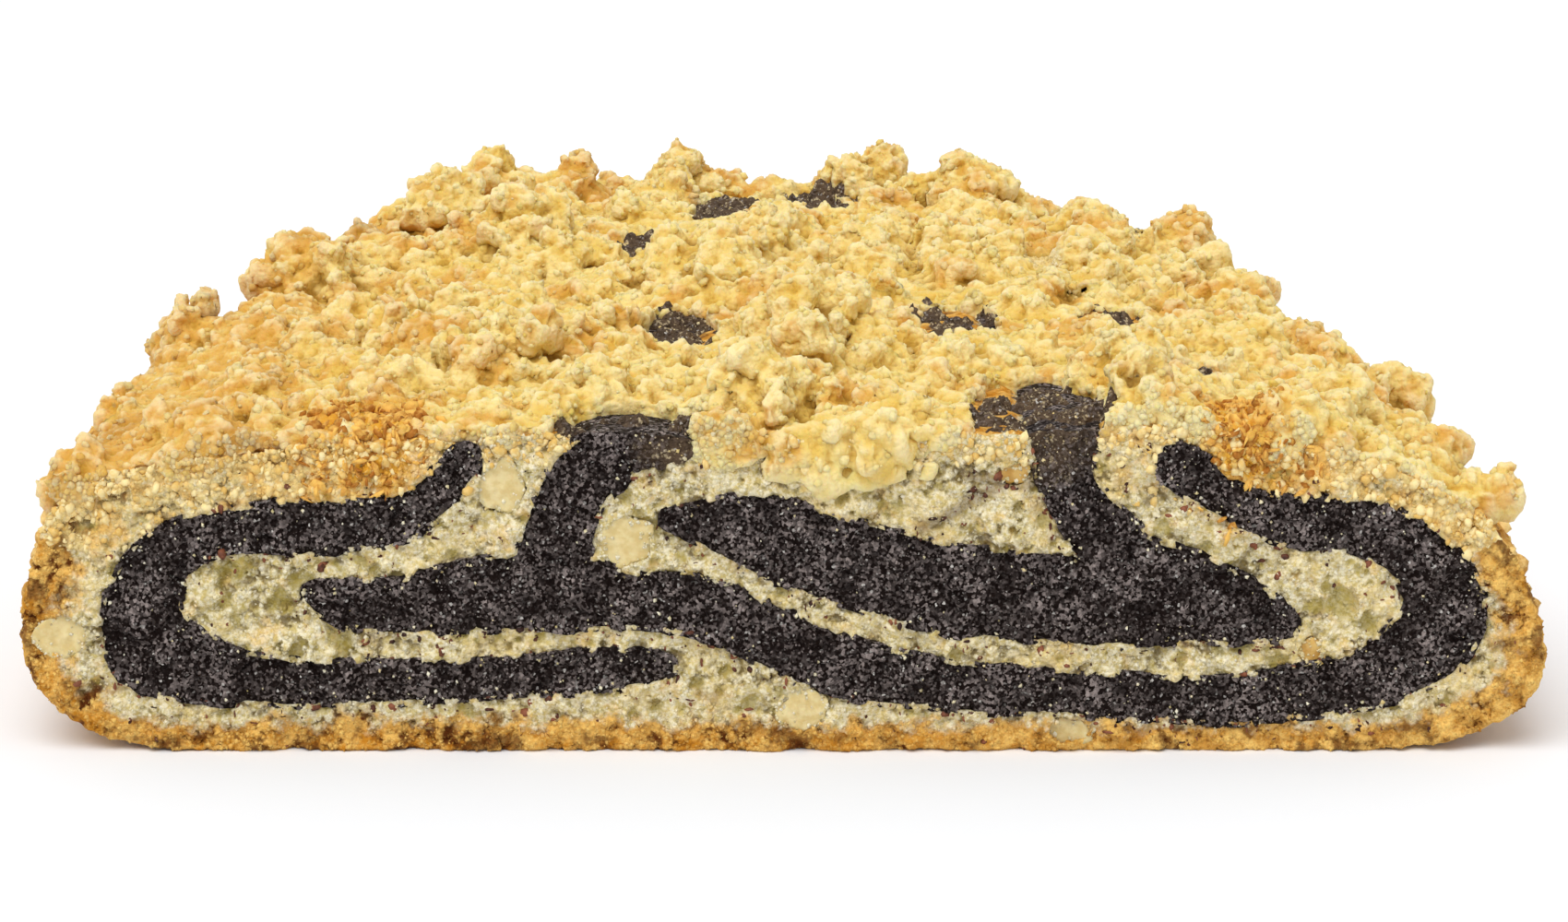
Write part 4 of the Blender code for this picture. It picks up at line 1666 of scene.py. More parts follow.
    def grains(self, surface: Socket, chosen: Socket, density: object, radii: tuple, seed: object,
               detail: int, sink: float, flat: float, uneven: float, lying: bool) -> Socket:
        """Round grains scattered over a surface, as real geometry.

        Args:
            surface: what they lie on.
            chosen: where they may lie.
            density: how many there are to the square metre.
            radii: the smallest and largest radius.
            seed: what the draw starts from.
            detail: how finely each ball is divided, or 0 for an eight-sided chip.
            sink: how deep a grain's middle lies, as a share of its radius.
            flat: a grain's height as a share of its width.
            uneven: how far its length and width stray from its size, as a share.
            lying: whether a grain lies along the surface or any way up.

        Returns:
            The grains.
        """
        feed = {"Mesh": surface, "Selection": chosen, "Density": density, "Seed": seed}
        spread = self.node("GeometryNodeDistributePointsOnFaces", feed, distribute_method="RANDOM")
        points = self.stored(spread.outputs["Points"], Trait.GRAIN, self.random(0.0, 1.0, seed))
        if detail:
            ball = self.node("GeometryNodeMeshIcoSphere", {"Radius": 1.0, "Subdivisions": detail})
        else:
            ball = self.node("GeometryNodeMeshUVSphere", {"Radius": 1.0, "Segments": 4, "Rings": 2})
        draw = self.maths("POWER", self.random(0.0, 1.0, self.plus(seed, 1)), self.MORE_SMALL)
        size = self.plus(self.times(draw, self.minus(radii[1], radii[0])), radii[0])
        inward = self.scaled(spread.outputs["Normal"], self.times(size, -sink))
        points = self.moved(points, inward)
        stretch = self.combined(
            self.times(size, self.random(1 - uneven, 1 + uneven, self.plus(seed, 2))),
            self.times(size, self.random(1 - uneven, 1 + uneven, self.plus(seed, 3))),
            self.times(size, self.random(self.FLATTEST * flat, flat, self.plus(seed, 4))),
        )
        turn = spread.outputs["Rotation"]
        if not lying:
            feed = {"Min": (0, 0, 0), "Max": (FULL_TURN,) * 3, "Seed": seed}
            turn = self.node("FunctionNodeRandomValue", feed, data_type="FLOAT_VECTOR").outputs["Value"]
        feed = {"Points": points, "Instance": ball.outputs[0], "Rotation": turn, "Scale": stretch}
        return self.node("GeometryNodeInstanceOnPoints", feed).outputs[0]

    def finish(self, result: Socket, material: Socket) -> None:
        """Ends the tree in plain geometry with a material.

        Args:
            result: what the tree makes.
            material: its finish.
        """
        smooth = self.node("GeometryNodeSetShadeSmooth", {"Geometry": self.real(result)}).outputs[0]
        dressed = self.node("GeometryNodeSetMaterial", {"Geometry": smooth, "Material": material}).outputs[0]
        self.node("NodeGroupOutput", {0: dressed})

    def attach(self, piece: Object) -> None:
        """Puts the tree on a piece, with its sizes set.

        Args:
            piece: the piece.
        """
        modifier = piece.modifiers.new(self.tree.name, "NODES")
        modifier.node_group = self.tree
        for identifier, value in self.values.items():
            modifier[identifier] = value


# Places that the streusel left bare


@dataclass(frozen=True)
class BarePlace:
    """A place without streusel: its middle, half its width and length, and how far it stands up."""

    x: float
    depth: float
    half_x: float
    half_y: float
    lift: float

    WOBBLE = 0.45
    WOBBLE_SIZE = 3.2 * MM

    def out(self, x: float, y: float, front: float) -> float:
        """How far out a point is, 1 on the place's uneven rim."""
        away = math.hypot((x - self.x) / self.half_x, (y - front - self.depth) / self.half_y)
        return away * (1 + self.WOBBLE * noise.noise(Vector((x, y, self.lift)) / self.WOBBLE_SIZE))


@dataclass
class BareGround:
    """What shows where the streusel left the loaf bare, as lumpy patches over what lies there."""

    form: LoafForm
    name: str
    slot: Slot
    places: tuple[BarePlace, ...]
    step: float = 0.42 * MM
    reach: float = 1.5
    thickness: float = 3.0 * MM
    sink: float = 7.0 * MM
    relief: float = 1.5 * MM
    relief_size: float = 1.8 * MM
    behind_cut: float = 0.9 * MM
    smoothing: int = 3
    seeds: float = 0.7
    crumbs: float = 0.4

    def build(self, ground: BVHTree, material: Material) -> Object:
        """Builds all the patches as one piece.

        Args:
            ground: the surfaces that they lie on.
            material: their finish.

        Returns:
            The patches.
        """
        shape = Shape()
        for place in self.places:
            self.patch(shape, place, ground)
        piece = new_piece(self.name, shape.mesh(self.name), material)
        hand_over(piece, self.slot)
        return piece

    def patch(self, shape: Shape, place: BarePlace, ground: BVHTree) -> None:
        """Adds one patch.

        Args:
            shape: what it is added to.
            place: where it lies.
            ground: the surfaces that it lies on.
        """
        front = self.form.front
        wide, long = place.half_x * self.reach, place.half_y * self.reach
        middle = front + place.depth
        xs = np.arange(place.x - wide, place.x + wide + self.step, self.step)
        ys = np.arange(max(middle - long, front + self.behind_cut), middle + long + self.step, self.step)
        under = np.empty((len(ys), len(xs)))
        for row, y in enumerate(ys):
            for column, x in enumerate(xs):
                hit = ground.ray_cast(Vector((x, y, ABOVE_ALL)), DOWN)[0]
                under[row, column] = hit.z if hit else self.form.end_height
        for _ in range(self.smoothing):
            wider = np.pad(under, 1, mode="edge")
            under = (wider[:-2, 1:-1] + wider[2:, 1:-1] + wider[1:-1, :-2] + wider[1:-1, 2:] + under) / 5
        points, gaps = [], []
        for row, y in enumerate(ys):
            for column, x in enumerate(xs):
                out = place.out(x, y, front)
                at = Vector((x, y, place.lift)) / self.relief_size
                gap = noise.voronoi(at)[0][0]
                bumps = noise.fractal(at * 0.5, 0.8, 2.2, 4) + 0.4 - gap
                swell = place.lift * max(0.0, 1 - out * out) - self.sink * max(0.0, out - 1.1) ** 1.3
                points.append((x, y, under[row, column] + swell + self.relief * bumps))
                gaps.append(gap)
        top = np.array(points)
        # painted shade: the gaps between the bumps, which the material paints darker
        hollow = np.clip(1.3 * np.array(gaps) - 0.3, 0, 1)
        traits = {Trait.BROWN: 1.0, Trait.CAVITY: hollow, Trait.COARSE: self.seeds, Trait.SPECK: self.crumbs}
        numbers = shape.add(top, traits).reshape(len(ys), len(xs))
        for row in range(len(ys) - 1):
            for column in range(len(xs) - 1):
                a, b = numbers[row, column], numbers[row, column + 1]
                c, d = numbers[row + 1, column + 1], numbers[row + 1, column]
                shape.faces.append((int(a), int(b), int(c), int(d)))
        rim = np.concatenate([numbers[0, :-1], numbers[:-1, -1], numbers[-1, :0:-1], numbers[:0:-1, 0]])
        flat = top[rim - numbers[0, 0]]
        foot = shape.add(flat - (0, 0, self.thickness), {Trait.BROWN: 1.0})
        shape.band(rim, foot)
        shape.cap(foot, flat[:, :2])


POPPY_PLACES = (
    BarePlace(*mm(-16.5, 2.0, 7.0, 3.4, -0.8)),
    BarePlace(*mm(26.8, 7.0, 6.6, 9.0, 0.4)),
    BarePlace(*mm(-12.0, 45.0, 3.4, 7.0, 0.6)),
    BarePlace(*mm(19.5, 49.0, 4.4, 8.0, 0.6)),
    BarePlace(*mm(46.0, 25.0, 2.7, 4.5, 0.8)),
    BarePlace(*mm(38.0, 50.0, 3.2, 4.5, 0.5)),
    BarePlace(*mm(-17.0, 86.0, 3.4, 6.0, 1.0)),
    BarePlace(*mm(-8.0, 115.0, 4.2, 7.5, 1.6)),
    BarePlace(*mm(4.0, 120.0, 3.6, 6.0, 1.6)),
)
DOUGH_PLACES = (
    BarePlace(*mm(-4.4, 87.0, 3.0, 5.0, 0.6)),
    BarePlace(*mm(31.4, 79.0, 2.6, 4.0, 0.5)),
)


# The streusel


@dataclass(frozen=True)
class Lumps:
    """One size of lump that the streusel is grown from.

    The radii are the smallest and largest, and the density is how many there are to the square
    metre. A lump grows where the normal's Z is above upward. Sink and flat are shares of its
    radius, detail is how finely it is divided, and dents of the given depth and size shape it.
    """

    radii: tuple[float, float]
    density: float
    upward: float
    sink: float
    flat: float
    detail: int
    dent: float
    dent_size: float


@dataclass
class StreuselCrown:
    """The streusel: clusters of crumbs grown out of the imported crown, in pieces along the loaf."""

    frame: dict
    form: LoafForm
    places: tuple[BarePlace, ...]
    node: str = "streusel_crown"
    cell: float = 11.0 * MM
    cell_waves: float = 160.0
    cell_shake: float = 6.0 * MM
    crack_depth: float = 3.2 * MM
    crack_width: float = 0.22
    thinner_in_cracks: float = 0.75
    uneven: float = 0.3
    thinning: float = -0.3
    near_rounds: int = 12
    far_rounds: int = 90
    tip_rounds: int = 24
    # painted shade and highlight: the ranges that turn small hollows, wide crevices and proud tips into the
    # shares that the streusel's material paints
    cavity: tuple[float, float] = mm(0.04, 0.34)
    crevice: tuple[float, float] = mm(0.30, 1.4)
    tip: tuple[float, float] = mm(0.05, 0.6)
    brown_left: Range = (0.025, 0.075, 0.0, 0.85)
    brown_right: Range = (0.045, 0.085, 0.0, 0.45)
    brown_behind: Range = (0.0, 0.070, 0.0, 0.35)
    lumps: tuple[Lumps, ...] = (
        Lumps(mm(2.6, 4.6), 10_000.0, 0.55, 0.40, 0.80, 4, 2.2 * MM, 3.2 * MM),
        Lumps(mm(1.2, 2.3), 60_000.0, 0.15, 0.40, 0.90, 3, 1.3 * MM, 1.7 * MM),
        Lumps(mm(0.50, 1.25), 230_000.0, 0.05, 0.20, 1.00, 2, 0.6 * MM, 1.0 * MM),
    )
    voxel: float = 0.41 * MM
    floret: float = 0.62 * MM
    floret_size: float = 1.9 * MM
    floret_waves: float = 420.0
    floret_shake: float = 1.6 * MM
    grain: float = 0.38 * MM
    grain_size: float = 0.90 * MM
    sink: float = 0.8 * MM
    apron: float = 3.8 * MM
    apron_middle: float = 7.5 * MM
    apron_spread: float = 9.0 * MM
    scallop: float = 2.2 * MM
    scallop_size: float = 6.0 * MM
    fine_scallop: float = 0.8 * MM
    recess: float = 1.8 * MM
    drop: float = 4.5 * MM
    settle: float = 0.3 * MM
    least_height: float = 1.5 * MM
    rim_fade: float = 0.35
    cuts: tuple[float, ...] = mm(-48, -16, 22)
    keep: float = 0.70
    seed: int = 21

    def build(self, material: Material) -> list[Object]:
        """Builds the streusel.

        Args:
            material: its finish.

        Returns:
            Its pieces, the one at the cut first.
        """
        growing = new_piece("growing_streusel", self.core())
        self.clusters(material).attach(growing)
        remesh = growing.modifiers.new("join", "REMESH")
        remesh.mode = "VOXEL"
        remesh.voxel_size = self.voxel
        self.surface(material).attach(growing)
        whole = baked_mesh(growing)
        log.info("streusel: %d vertices", len(whole.vertices))
        return self.divide(whole, material)

    def core(self) -> Mesh:
        """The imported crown, rounded and lowered where it is bare.

        Returns:
            Its mesh, with how bare each vertex is.
        """
        merged = self.frame["nodes"][self.node].data.copy()
        solid = bmesh.new()
        solid.from_mesh(merged)
        bmesh.ops.remove_doubles(solid, verts=solid.verts, dist=Outline.MERGE)
        solid.to_mesh(merged)
        solid.free()
        rounding = new_piece("rounding", merged)
        rounder = rounding.modifiers.new("round", "SUBSURF")
        rounder.levels = rounder.render_levels = 2
        mesh = baked_mesh(rounding)
        tree = surface_tree([mesh])
        places = [vertex.co.copy() for vertex in mesh.vertices]
        rises = [normal.vector.z for normal in mesh.vertex_normals]
        bare, room = np.zeros(len(places)), np.zeros(len(places))
        for number, (at, rise) in enumerate(zip(places, rises)):
            if rise <= 0:
                continue
            out = min(place.out(at.x, at.y, self.form.front) for place in self.places)
            bare[number] = min(1.0, max(0.0, (1 + self.rim_fade - out) / self.rim_fade))
            hit = tree.ray_cast(at - Vector((0, 0, 0.05 * MM)), DOWN)[0]
            least = min(hit.z + self.least_height if hit else at.z, at.z)
            at.z = max(at.z - self.drop * bare[number] - self.settle * rise, least)
            room[number] = at.z - least
        mesh.vertices.foreach_set("co", np.array(places).ravel())
        mark(mesh, Trait.BARE, bare)
        mark(mesh, Trait.ROOM, room)
        return mesh

    def clusters(self, material: Material) -> ShapeWriter:
        """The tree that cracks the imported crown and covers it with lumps.

        Args:
            material: its finish.

        Returns:
            The tree's writer.
        """
        inputs = {
            "Cell": self.cell, "Crack Depth": self.crack_depth, "Apron Middle": self.apron_middle,
            "Apron Spread": self.apron_spread, "Front": self.form.front,
        }
        for number, lumps in enumerate(self.lumps, 1):
            inputs |= {
                f"Least Radius {number}": lumps.radii[0],
                f"Most Radius {number}": lumps.radii[1],
                f"Density {number}": lumps.density,
                f"Dent {number}": lumps.dent,
            }
        w = ShapeWriter("streusel_clusters", inputs | {"Seed": self.seed, "Material": material})
        sizes = w.inputs
        shake = w.scaled(w.shaken(self.cell_waves), self.cell_shake)
        scale = w.maths("DIVIDE", 1.0, sizes["Cell"])
        edge = w.node("ShaderNodeTexVoronoi", {"Vector": w.vector("ADD", w.position, shake), "Scale": scale},
                      feature="DISTANCE_TO_EDGE").outputs["Distance"]
        crack = w.spread(edge, 0.0, self.crack_width, 1.0, 0.0)
        upper = w.spread(w.part(w.normal, "Z"), -0.2, 0.3)
        covered = w.minus(1.0, w.trait(Trait.BARE))
        thick = w.times(covered, w.minus(1.0, w.times(crack, self.thinner_in_cracks)))
        inward = w.maths("MINIMUM", w.times(crack, sizes["Crack Depth"]), w.trait(Trait.ROOM))
        inward = w.times(w.times(inward, -1.0), w.times(upper, covered))
        grown = w.moved(sizes["Geometry"], w.scaled(w.normal, inward))
        forward = w.times(w.times(w.part(w.normal, "Y"), -1.0), self.overhang(w))
        behind = w.spread(w.minus(w.y, sizes["Front"]), 0.003, 0.010, 0.0, 0.6)
        steep = w.maths("MAXIMUM", w.plus(w.part(w.normal, "Z"), behind), forward)
        upright = w.maths("MAXIMUM", w.part(w.normal, "Z"), forward)
        for number, lumps in enumerate(self.lumps, 1):
            outward = upright if number == 1 else steep
            balls = w.grains(grown, w.above(outward, lumps.upward),
                             w.times(sizes[f"Density {number}"], thick),
                             (sizes[f"Least Radius {number}"], sizes[f"Most Radius {number}"]),
                             w.plus(sizes["Seed"], 10.0 * number), lumps.detail, lumps.sink, lumps.flat,
                             self.uneven, True)
            real = w.real(balls)
            dent = w.vector("SUBTRACT", w.shaken(1 / lumps.dent_size), (0.5, 0.5, 0.5))
            dent = w.scaled(dent, sizes[f"Dent {number}"])
            join = w.node("GeometryNodeJoinGeometry")
            for geometry_in in (grown, w.moved(real, w.scaled(dent, 2.0))):
                w.tree.links.new(geometry_in, join.inputs[0])
            grown = join.outputs[0]
        w.finish(grown, sizes["Material"])
        return w

    def overhang(self, w: ShapeWriter) -> Socket:
        """How much each point belongs to where the streusel hangs over the cut.

        Args:
            w: the writer of the tree that asks.

        Returns:
            The share, from 0 to 1.
        """
        across = w.maths("DIVIDE", w.minus(w.x, w.inputs["Apron Middle"]),
                         w.inputs["Apron Spread"])
        return w.maths("EXPONENT", w.times(w.times(across, across), -1.0))

    def surface(self, material: Material) -> ShapeWriter:
        """The tree that grains the joined crown and marks its hollows and crevices for painted shade and its
        tips for painted highlights.

        Args:
            material: its finish.

        Returns:
            The tree's writer.
        """
        w = ShapeWriter("streusel_surface", {
            "Floret": self.floret, "Floret Size": self.floret_size,
            "Grain": self.grain, "Grain Size": self.grain_size, "Sink": self.sink,
            "Front": self.form.front, "Apron": self.apron, "Apron Middle": self.apron_middle,
            "Apron Spread": self.apron_spread, "Recess": self.recess, "Material": material,
        })
        sizes = w.inputs
        shaken = w.vector("ADD", w.position, w.scaled(w.shaken(self.floret_waves), self.floret_shake))
        height = w.times(w.minus(w.noise(900.0, 3.0, 0.6), 0.5), sizes["Grain"])
        for amount, size in ((sizes["Floret"], sizes["Floret Size"]), (sizes["Grain"], sizes["Grain Size"])):
            dome = w.minus(0.35, w.maths("POWER", w.times(w.cells(shaken, size), 1.25), 2.0))
            height = w.plus(height, w.times(dome, amount))
        upper = w.spread(w.part(w.normal, "Z"), -0.5, 0.0)
        down = w.combined(0.0, 0.0, w.times(w.minus(upper, 1.0), sizes["Sink"]))
        offset = w.vector("ADD", w.scaled(w.normal, w.times(height, upper)), down)
        grown = w.moved(sizes["Geometry"], offset)
        apron = self.overhang(w)
        rough = w.times(w.minus(w.noise(800.0, 4.0, 0.65), 0.5), 0.0016)
        for size, amount in ((self.scallop_size, self.scallop), (sizes["Floret Size"], self.fine_scallop)):
            cell = w.cells(shaken, size)
            hill = w.minus(w.times(cell, cell), 0.3)
            hill = w.times(w.times(hill, amount), w.spread(apron, 0.05, 0.5))
            rough = w.plus(rough, hill)
        limit = w.minus(w.plus(sizes["Front"], rough), w.times(apron, sizes["Apron"]))
        for place in self.places:
            if place.depth < place.half_y:
                beside = w.maths("ABSOLUTE", w.minus(w.x, place.x))
                window = w.spread(beside, 0.8 * place.half_x, place.half_x, 1.0, 0.0)
                limit = w.plus(limit, w.times(window, sizes["Recess"]))
        behind = w.maths("MAXIMUM", w.y, limit)
        place = w.combined(w.x, behind, w.z)
        cut = w.spread(w.minus(w.y, limit), 0.0, 0.0012, 1.0, 0.0)
        cut = w.times(cut, w.minus(1.0, w.times(apron, 0.5)))
        grown = w.stored(grown, Trait.CUT, cut)
        grained = w.placed(grown, place)
        # painted shade: how far each point lies below its blurred neighbours, in small hollows and wide
        # crevices
        for trait, rounds, span in (
            (Trait.CAVITY, self.near_rounds, self.cavity),
            (Trait.CREVICE, self.far_rounds, self.crevice),
        ):
            sunk = w.vector("SUBTRACT", w.blurred(w.position, rounds), w.position)
            sunk = w.measured("DOT_PRODUCT", sunk, w.normal)
            grained = w.stored(grained, trait, w.spread(sunk, *span))
        # painted highlight: how far each point stands above its blurred neighbours
        proud = w.vector("SUBTRACT", w.position, w.blurred(w.position, self.tip_rounds))
        proud = w.measured("DOT_PRODUCT", proud, w.normal)
        grained = w.stored(grained, Trait.GRAIN, w.spread(proud, *self.tip))
        toast = 0.0
        for spot in TOASTED:
            middle = (spot.x, self.form.front + spot.depth, spot.z)
            away = w.measured("DISTANCE", w.position, middle)
            toast = w.maths("MAXIMUM", toast, w.spread(away, 0.5 * spot.radius, spot.radius, 1.0, 0.0))
        grained = w.stored(grained, Trait.TOAST, toast)
        left = w.spread(w.times(w.x, -1.0), *self.brown_left)
        right = w.spread(w.x, *self.brown_right)
        behind = w.spread(w.y, *self.brown_behind)
        outer = w.plus(w.maths("MAXIMUM", left, right), behind)
        brown = w.plus(w.spread(w.noise(110.0, 3.0, 0.6), 0.44, 0.66, 0.0, 0.9), outer)
        grained = w.stored(grained, Trait.BROWN, brown)
        w.finish(grained, sizes["Material"])
        return w

    def divide(self, whole: Mesh, material: Material) -> list[Object]:
        """Thins the hidden underside and divides the streusel into closed pieces along the loaf.

        Args:
            whole: all of it.
            material: its finish.

        Returns:
            The pieces.
        """
        thin = new_piece("thinning_streusel", whole)
        hidden = [vertex.index for vertex in whole.vertices if vertex.normal.z < self.thinning]
        thin.vertex_groups.new(name="hidden").add(hidden, 1.0, "REPLACE")
        decimate = thin.modifiers.new("thin", "DECIMATE")
        decimate.vertex_group = "hidden"
        decimate.ratio = self.keep
        lighter = baked_mesh(thin)
        bounds = [-1.0, *self.cuts, 1.0]
        pieces = []
        for number, (near, far) in enumerate(zip(bounds, bounds[1:])):
            solid = bmesh.new()
            solid.from_mesh(lighter)
            for height, side in ((near, 1), (far, -1)):
                self.cut_away(solid, height, side)
            mesh = bpy.data.meshes.new(self.node)
            solid.to_mesh(mesh)
            solid.free()
            pieces.append(new_piece(f"streusel_{number + 1}", mesh, material))
            hand_over(pieces[-1], Slot.STREUSEL, self.node)
        return pieces

    def cut_away(self, solid: bmesh.types.BMesh, height: float, side: int) -> None:
        """Removes what lies beyond a plane across the loaf and closes the opening.

        Args:
            solid: what is cut.
            height: where the plane crosses Y.
            side: 1 to keep what lies behind it, -1 to keep what lies before it.
        """
        everything = [*solid.verts, *solid.edges, *solid.faces]
        bmesh.ops.bisect_plane(solid, geom=everything, plane_co=(0, height, 0), plane_no=(0, -side, 0),
                               clear_outer=True, dist=1e-7)
        opened = [edge for edge in solid.edges if edge.is_boundary]
        if opened:
            bmesh.ops.holes_fill(solid, edges=opened, sides=0)


# Loose grains


@dataclass
class LooseGrains:
    """Grains of one kind scattered over the pieces that carry them, more where a trait is strong."""

    name: str
    slot: Slot
    density: float
    radii: tuple[float, float]
    facing: tuple[float, float, float] = (0.0, -1.0, 0.0)
    least: float = 0.3
    weight: Trait | None = None
    detail: int = 1
    sink: float = 0.0
    flat: float = 1.0
    uneven: float = 0.22
    lying: bool = False
    knobbly: float = 0.0
    seed: int = 1

    def build(self, carriers: list[Object], material: Material) -> Object:
        """Scatters the grains.

        Args:
            carriers: what they lie on.
            material: their finish.

        Returns:
            The grains as one piece.
        """
        w = ShapeWriter(self.name, {
            "Density": self.density, "Least Radius": self.radii[0], "Most Radius": self.radii[1],
            "Seed": self.seed, "Material": material,
        })
        sizes = w.inputs
        chosen = w.above(w.measured("DOT_PRODUCT", w.normal, self.facing), self.least)
        density = w.times(sizes["Density"], w.trait(self.weight)) if self.weight else sizes["Density"]
        grains = w.grains(sizes["Geometry"], chosen, density, (sizes["Least Radius"], sizes["Most Radius"]),
                          sizes["Seed"], self.detail, self.sink, self.flat, self.uneven, self.lying)
        shake = w.vector("SUBTRACT", w.shaken(1500.0, 3.0, 0.7), (0.5, 0.5, 0.5))
        grains = w.moved(w.real(grains), w.scaled(shake, self.knobbly))
        over_floor = w.maths("MAXIMUM", w.z, 0.0)
        place = w.combined(w.x, w.y, over_floor)
        w.finish(w.placed(grains, place), sizes["Material"])
        solid = bmesh.new()
        for carrier in carriers:
            solid.from_mesh(carrier.data)
        ground = bpy.data.meshes.new("carriers")
        solid.to_mesh(ground)
        solid.free()
        scatter = new_piece("scatter", ground)
        w.attach(scatter)
        piece = new_piece(self.name, baked_mesh(scatter))
        hand_over(piece, self.slot)
        return piece


POPPY_SEEDS = LooseGrains(
    "poppy_seeds", Slot.FILLING, 4_600_000.0, mm(0.13, 0.31), facing=(0.0, -0.8, 0.6), least=0.4,
    weight=Trait.COARSE, detail=0, sink=0.2, seed=3,
)
SEED_SKINS = LooseGrains(
    "seed_skins", Slot.FILLING, 1_700_000.0, mm(0.10, 0.46), weight=Trait.SPECK, flat=0.4,
    uneven=0.75, lying=True, knobbly=0.7 * MM, seed=5,
)
CRUMB_CHIPS = LooseGrains(
    "crumb_chips", Slot.DOUGH, 4_500_000.0, mm(0.16, 0.46), facing=(0.0, -0.9, 0.43),
    weight=Trait.COARSE, detail=0, sink=0.3, knobbly=0.3 * MM, seed=9,
)
EDGE_CRUMBS = LooseGrains(
    "edge_crumbs", Slot.DOUGH, 420_000.0, mm(0.12, 0.32), weight=Trait.SPECK, detail=0,
    knobbly=0.3 * MM, seed=10,
)
SEAM_CRUMBS = LooseGrains(
    "seam_crumbs", Slot.DOUGH, 2_600_000.0, mm(0.22, 0.66), weight=Trait.SEAM, sink=0.2,
    uneven=0.5, knobbly=1.1 * MM, seed=11,
)
STREUSEL_CRUMBS = LooseGrains(
    "streusel_crumbs", Slot.STREUSEL, 190_000.0, mm(0.25, 0.75), facing=(0.0, -0.35, 0.94),
    least=0.1, sink=0.2, knobbly=0.6 * MM, seed=13,
)
CUT_STREUSEL_CRUMBS = LooseGrains(
    "cut_streusel_crumbs", Slot.STREUSEL, 2_400_000.0, mm(0.22, 0.62), weight=Trait.CUT,
    sink=0.2, knobbly=0.5 * MM, seed=15,
)
SIDE_CRUMBS = LooseGrains(
    "side_crumbs", Slot.STREUSEL, 170_000.0, mm(0.35, 1.15), facing=(0.0, 0.0, -1.0),
    least=-0.6, weight=Trait.SHOULDER, detail=2, sink=0.3, uneven=0.35, knobbly=1.1 * MM, seed=17,
)
TOASTED_FLAKES = LooseGrains(
    "toasted_flakes", Slot.STREUSEL, 1_700_000.0, mm(0.30, 1.0), facing=(0.0, -0.7, 0.7),
    weight=Trait.TOAST, sink=0.1, flat=0.3, uneven=0.5, knobbly=0.8 * MM, seed=19,
)


# The studio


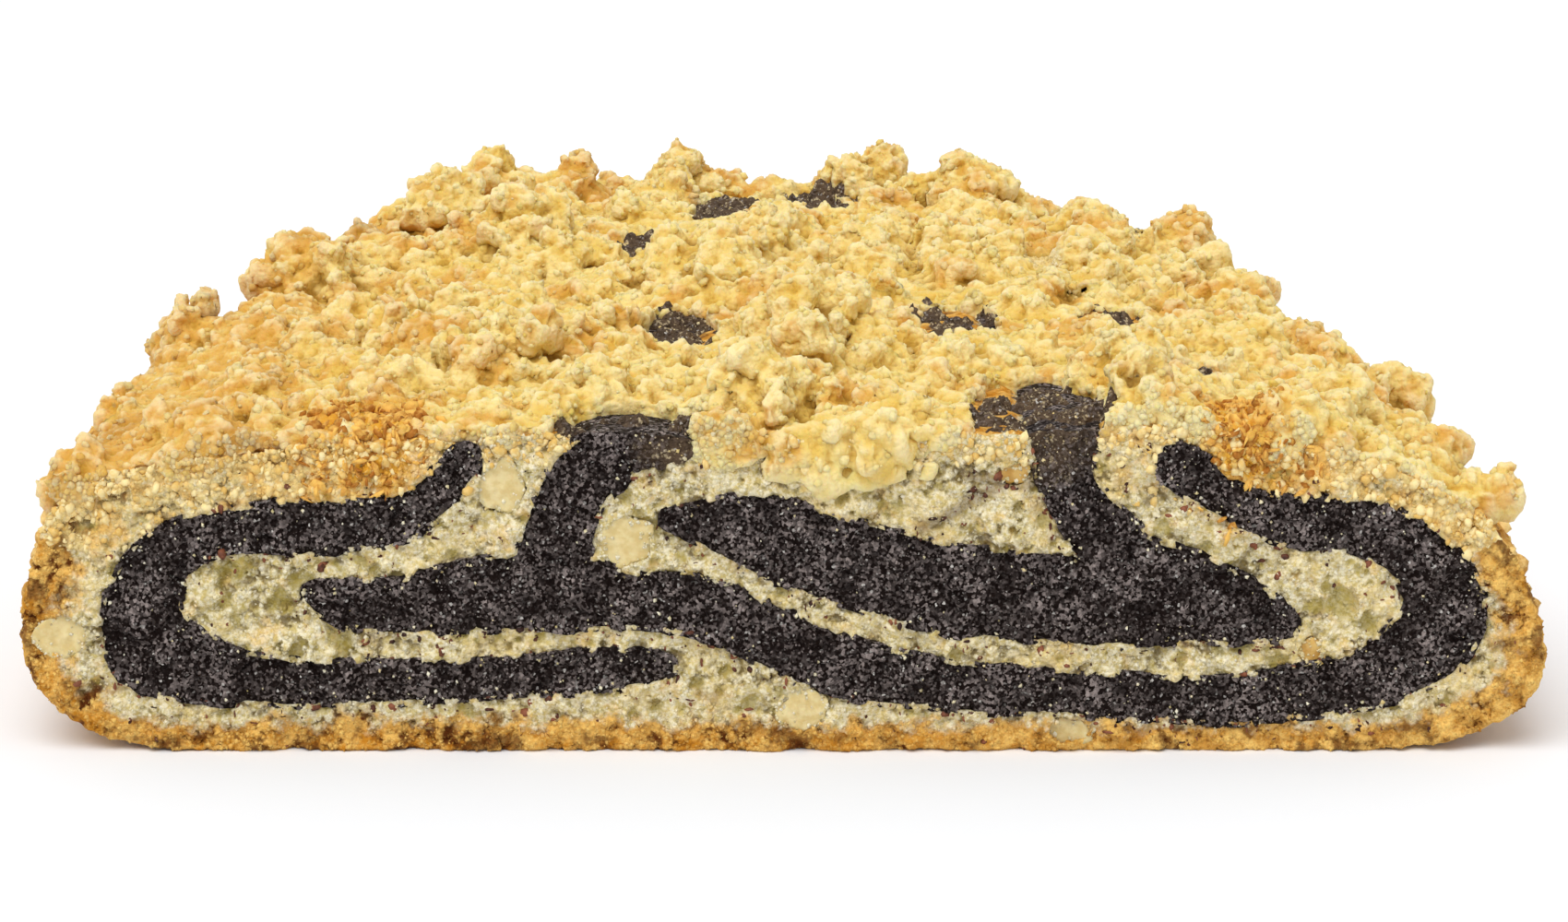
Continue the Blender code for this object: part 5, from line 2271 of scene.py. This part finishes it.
@dataclass
class Studio:
    """The camera, the lights and the white floor."""

    face: tuple[float, float, float] = (0.0, -0.075, 0.017)
    aim_higher: float = 0.0157
    distance: float = 0.600
    elevation: float = math.radians(16)
    pixels_to_metre: float = 10030.0
    sensor: float = 36.0
    sky: float = 0.69
    key: float = 1.9
    key_angle: float = math.radians(50)
    key_from: tuple[float, float, float] = (-0.35, -0.8, 1.5)
    floor_width: float = 4.0

    def build(self) -> None:
        """Builds the studio."""
        scene = bpy.context.scene
        scene.view_settings.view_transform = "Standard"
        lens = bpy.data.cameras.new("camera")
        lens.sensor_width = self.sensor
        lens.lens = self.sensor * self.distance * self.pixels_to_metre / PHOTO_WIDTH
        lens.clip_start = 0.01
        camera = bpy.data.objects.new("camera", lens)
        face = Vector(self.face)
        out = Vector((0, -math.cos(self.elevation), math.sin(self.elevation)))
        camera.location = face + out * self.distance
        aim = face + Vector((0, 0, self.aim_higher))
        camera.rotation_euler = (aim - camera.location).to_track_quat("-Z", "Y").to_euler()
        scene.collection.objects.link(camera)
        scene.camera = camera
        self.lights(scene)
        self.floor()

    def lights(self, scene: bpy.types.Scene) -> None:
        """Hangs a white sky and one wide soft lamp.

        Args:
            scene: where they hang.
        """
        world = bpy.data.worlds.new("studio")
        world.use_nodes = True
        background = world.node_tree.nodes["Background"]
        background.inputs["Color"].default_value = (1, 1, 1, 1)
        background.inputs["Strength"].default_value = self.sky
        scene.world = world
        lamp = bpy.data.lights.new("key", "SUN")
        lamp.energy, lamp.angle = self.key, self.key_angle
        key = bpy.data.objects.new("key", lamp)
        key.rotation_euler = Vector(self.key_from).to_track_quat("Z", "Y").to_euler()
        scene.collection.objects.link(key)

    def floor(self) -> None:
        """Lays the floor."""
        half = self.floor_width / 2
        mesh = bpy.data.meshes.new("floor")
        corners = [(-half, -half, 0), (half, -half, 0), (half, half, 0), (-half, half, 0)]
        mesh.from_pydata(corners, [], [(0, 1, 2, 3)])
        w = ShaderWriter("white_floor")
        tone = w.blend(w.grain(3.0, 2), (0.886, 0.898, 0.922), (0.892, 0.904, 0.928))
        new_piece("floor", mesh, w.finish(tone, Roughness=0.9))


def main() -> None:
    """Builds the pieces in order."""
    logging.basicConfig(level=logging.INFO, format="%(message)s")
    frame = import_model()
    noise.seed_set(NOISE_SEED)
    form = LoafForm()
    dough, poppy, streusel = DoughFinish().material(), PoppyFinish().material(), StreuselFinish().material()
    runs = ("poppy_left_coil", "poppy_long_fold", "poppy_right_fold")
    edges = [Outline.smooth(Outline.loops(frame["nodes"][run], form)[0], 0.4 * MM).points for run in runs]
    loaf = SweetDough(form, frame).build(edges, dough)
    fillings = [PoppyRun(form, frame).build(run, poppy) for run in runs]
    almond, peel = ALMOND_FLESH.material(), CANDIED_PEEL.material()
    bits = [ChoppedBit(form, frame).build(f"almond_piece_{n}", Slot.ALMOND, almond) for n in range(1, 6)]
    bits += [ChoppedBit(form, frame).build(f"peel_piece_{n}", Slot.PEEL, peel) for n in range(1, 3)]
    crown = StreuselCrown(frame, form, POPPY_PLACES + DOUGH_PLACES).build(streusel)
    ground = surface_tree([piece.data for piece in (loaf, *fillings, *crown)])
    bare = BareGround(form, "poppy_on_top", Slot.FILLING, POPPY_PLACES).build(ground, poppy)
    crumb = BareGround(form, "dough_on_top", Slot.DOUGH, DOUGH_PLACES).build(ground, dough)
    POPPY_SEEDS.build([*fillings, bare], poppy)
    SEED_SKINS.build([loaf], SEED_SKIN.material())
    CRUMB_CHIPS.build([loaf, *bits, crumb], dough)
    EDGE_CRUMBS.build([*fillings, bare], dough)
    SEAM_CRUMBS.build([loaf], GOLDEN_CRUMB.material())
    STREUSEL_CRUMBS.build(crown, streusel)
    CUT_STREUSEL_CRUMBS.build(crown[:1], streusel)
    SIDE_CRUMBS.build([loaf], TOASTED_CRUMB.material())
    TOASTED_FLAKES.build([loaf, crown[0]], TOASTED_FLAKE.material())
    Studio().build()
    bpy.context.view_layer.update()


if __name__ == "__main__":
    main()
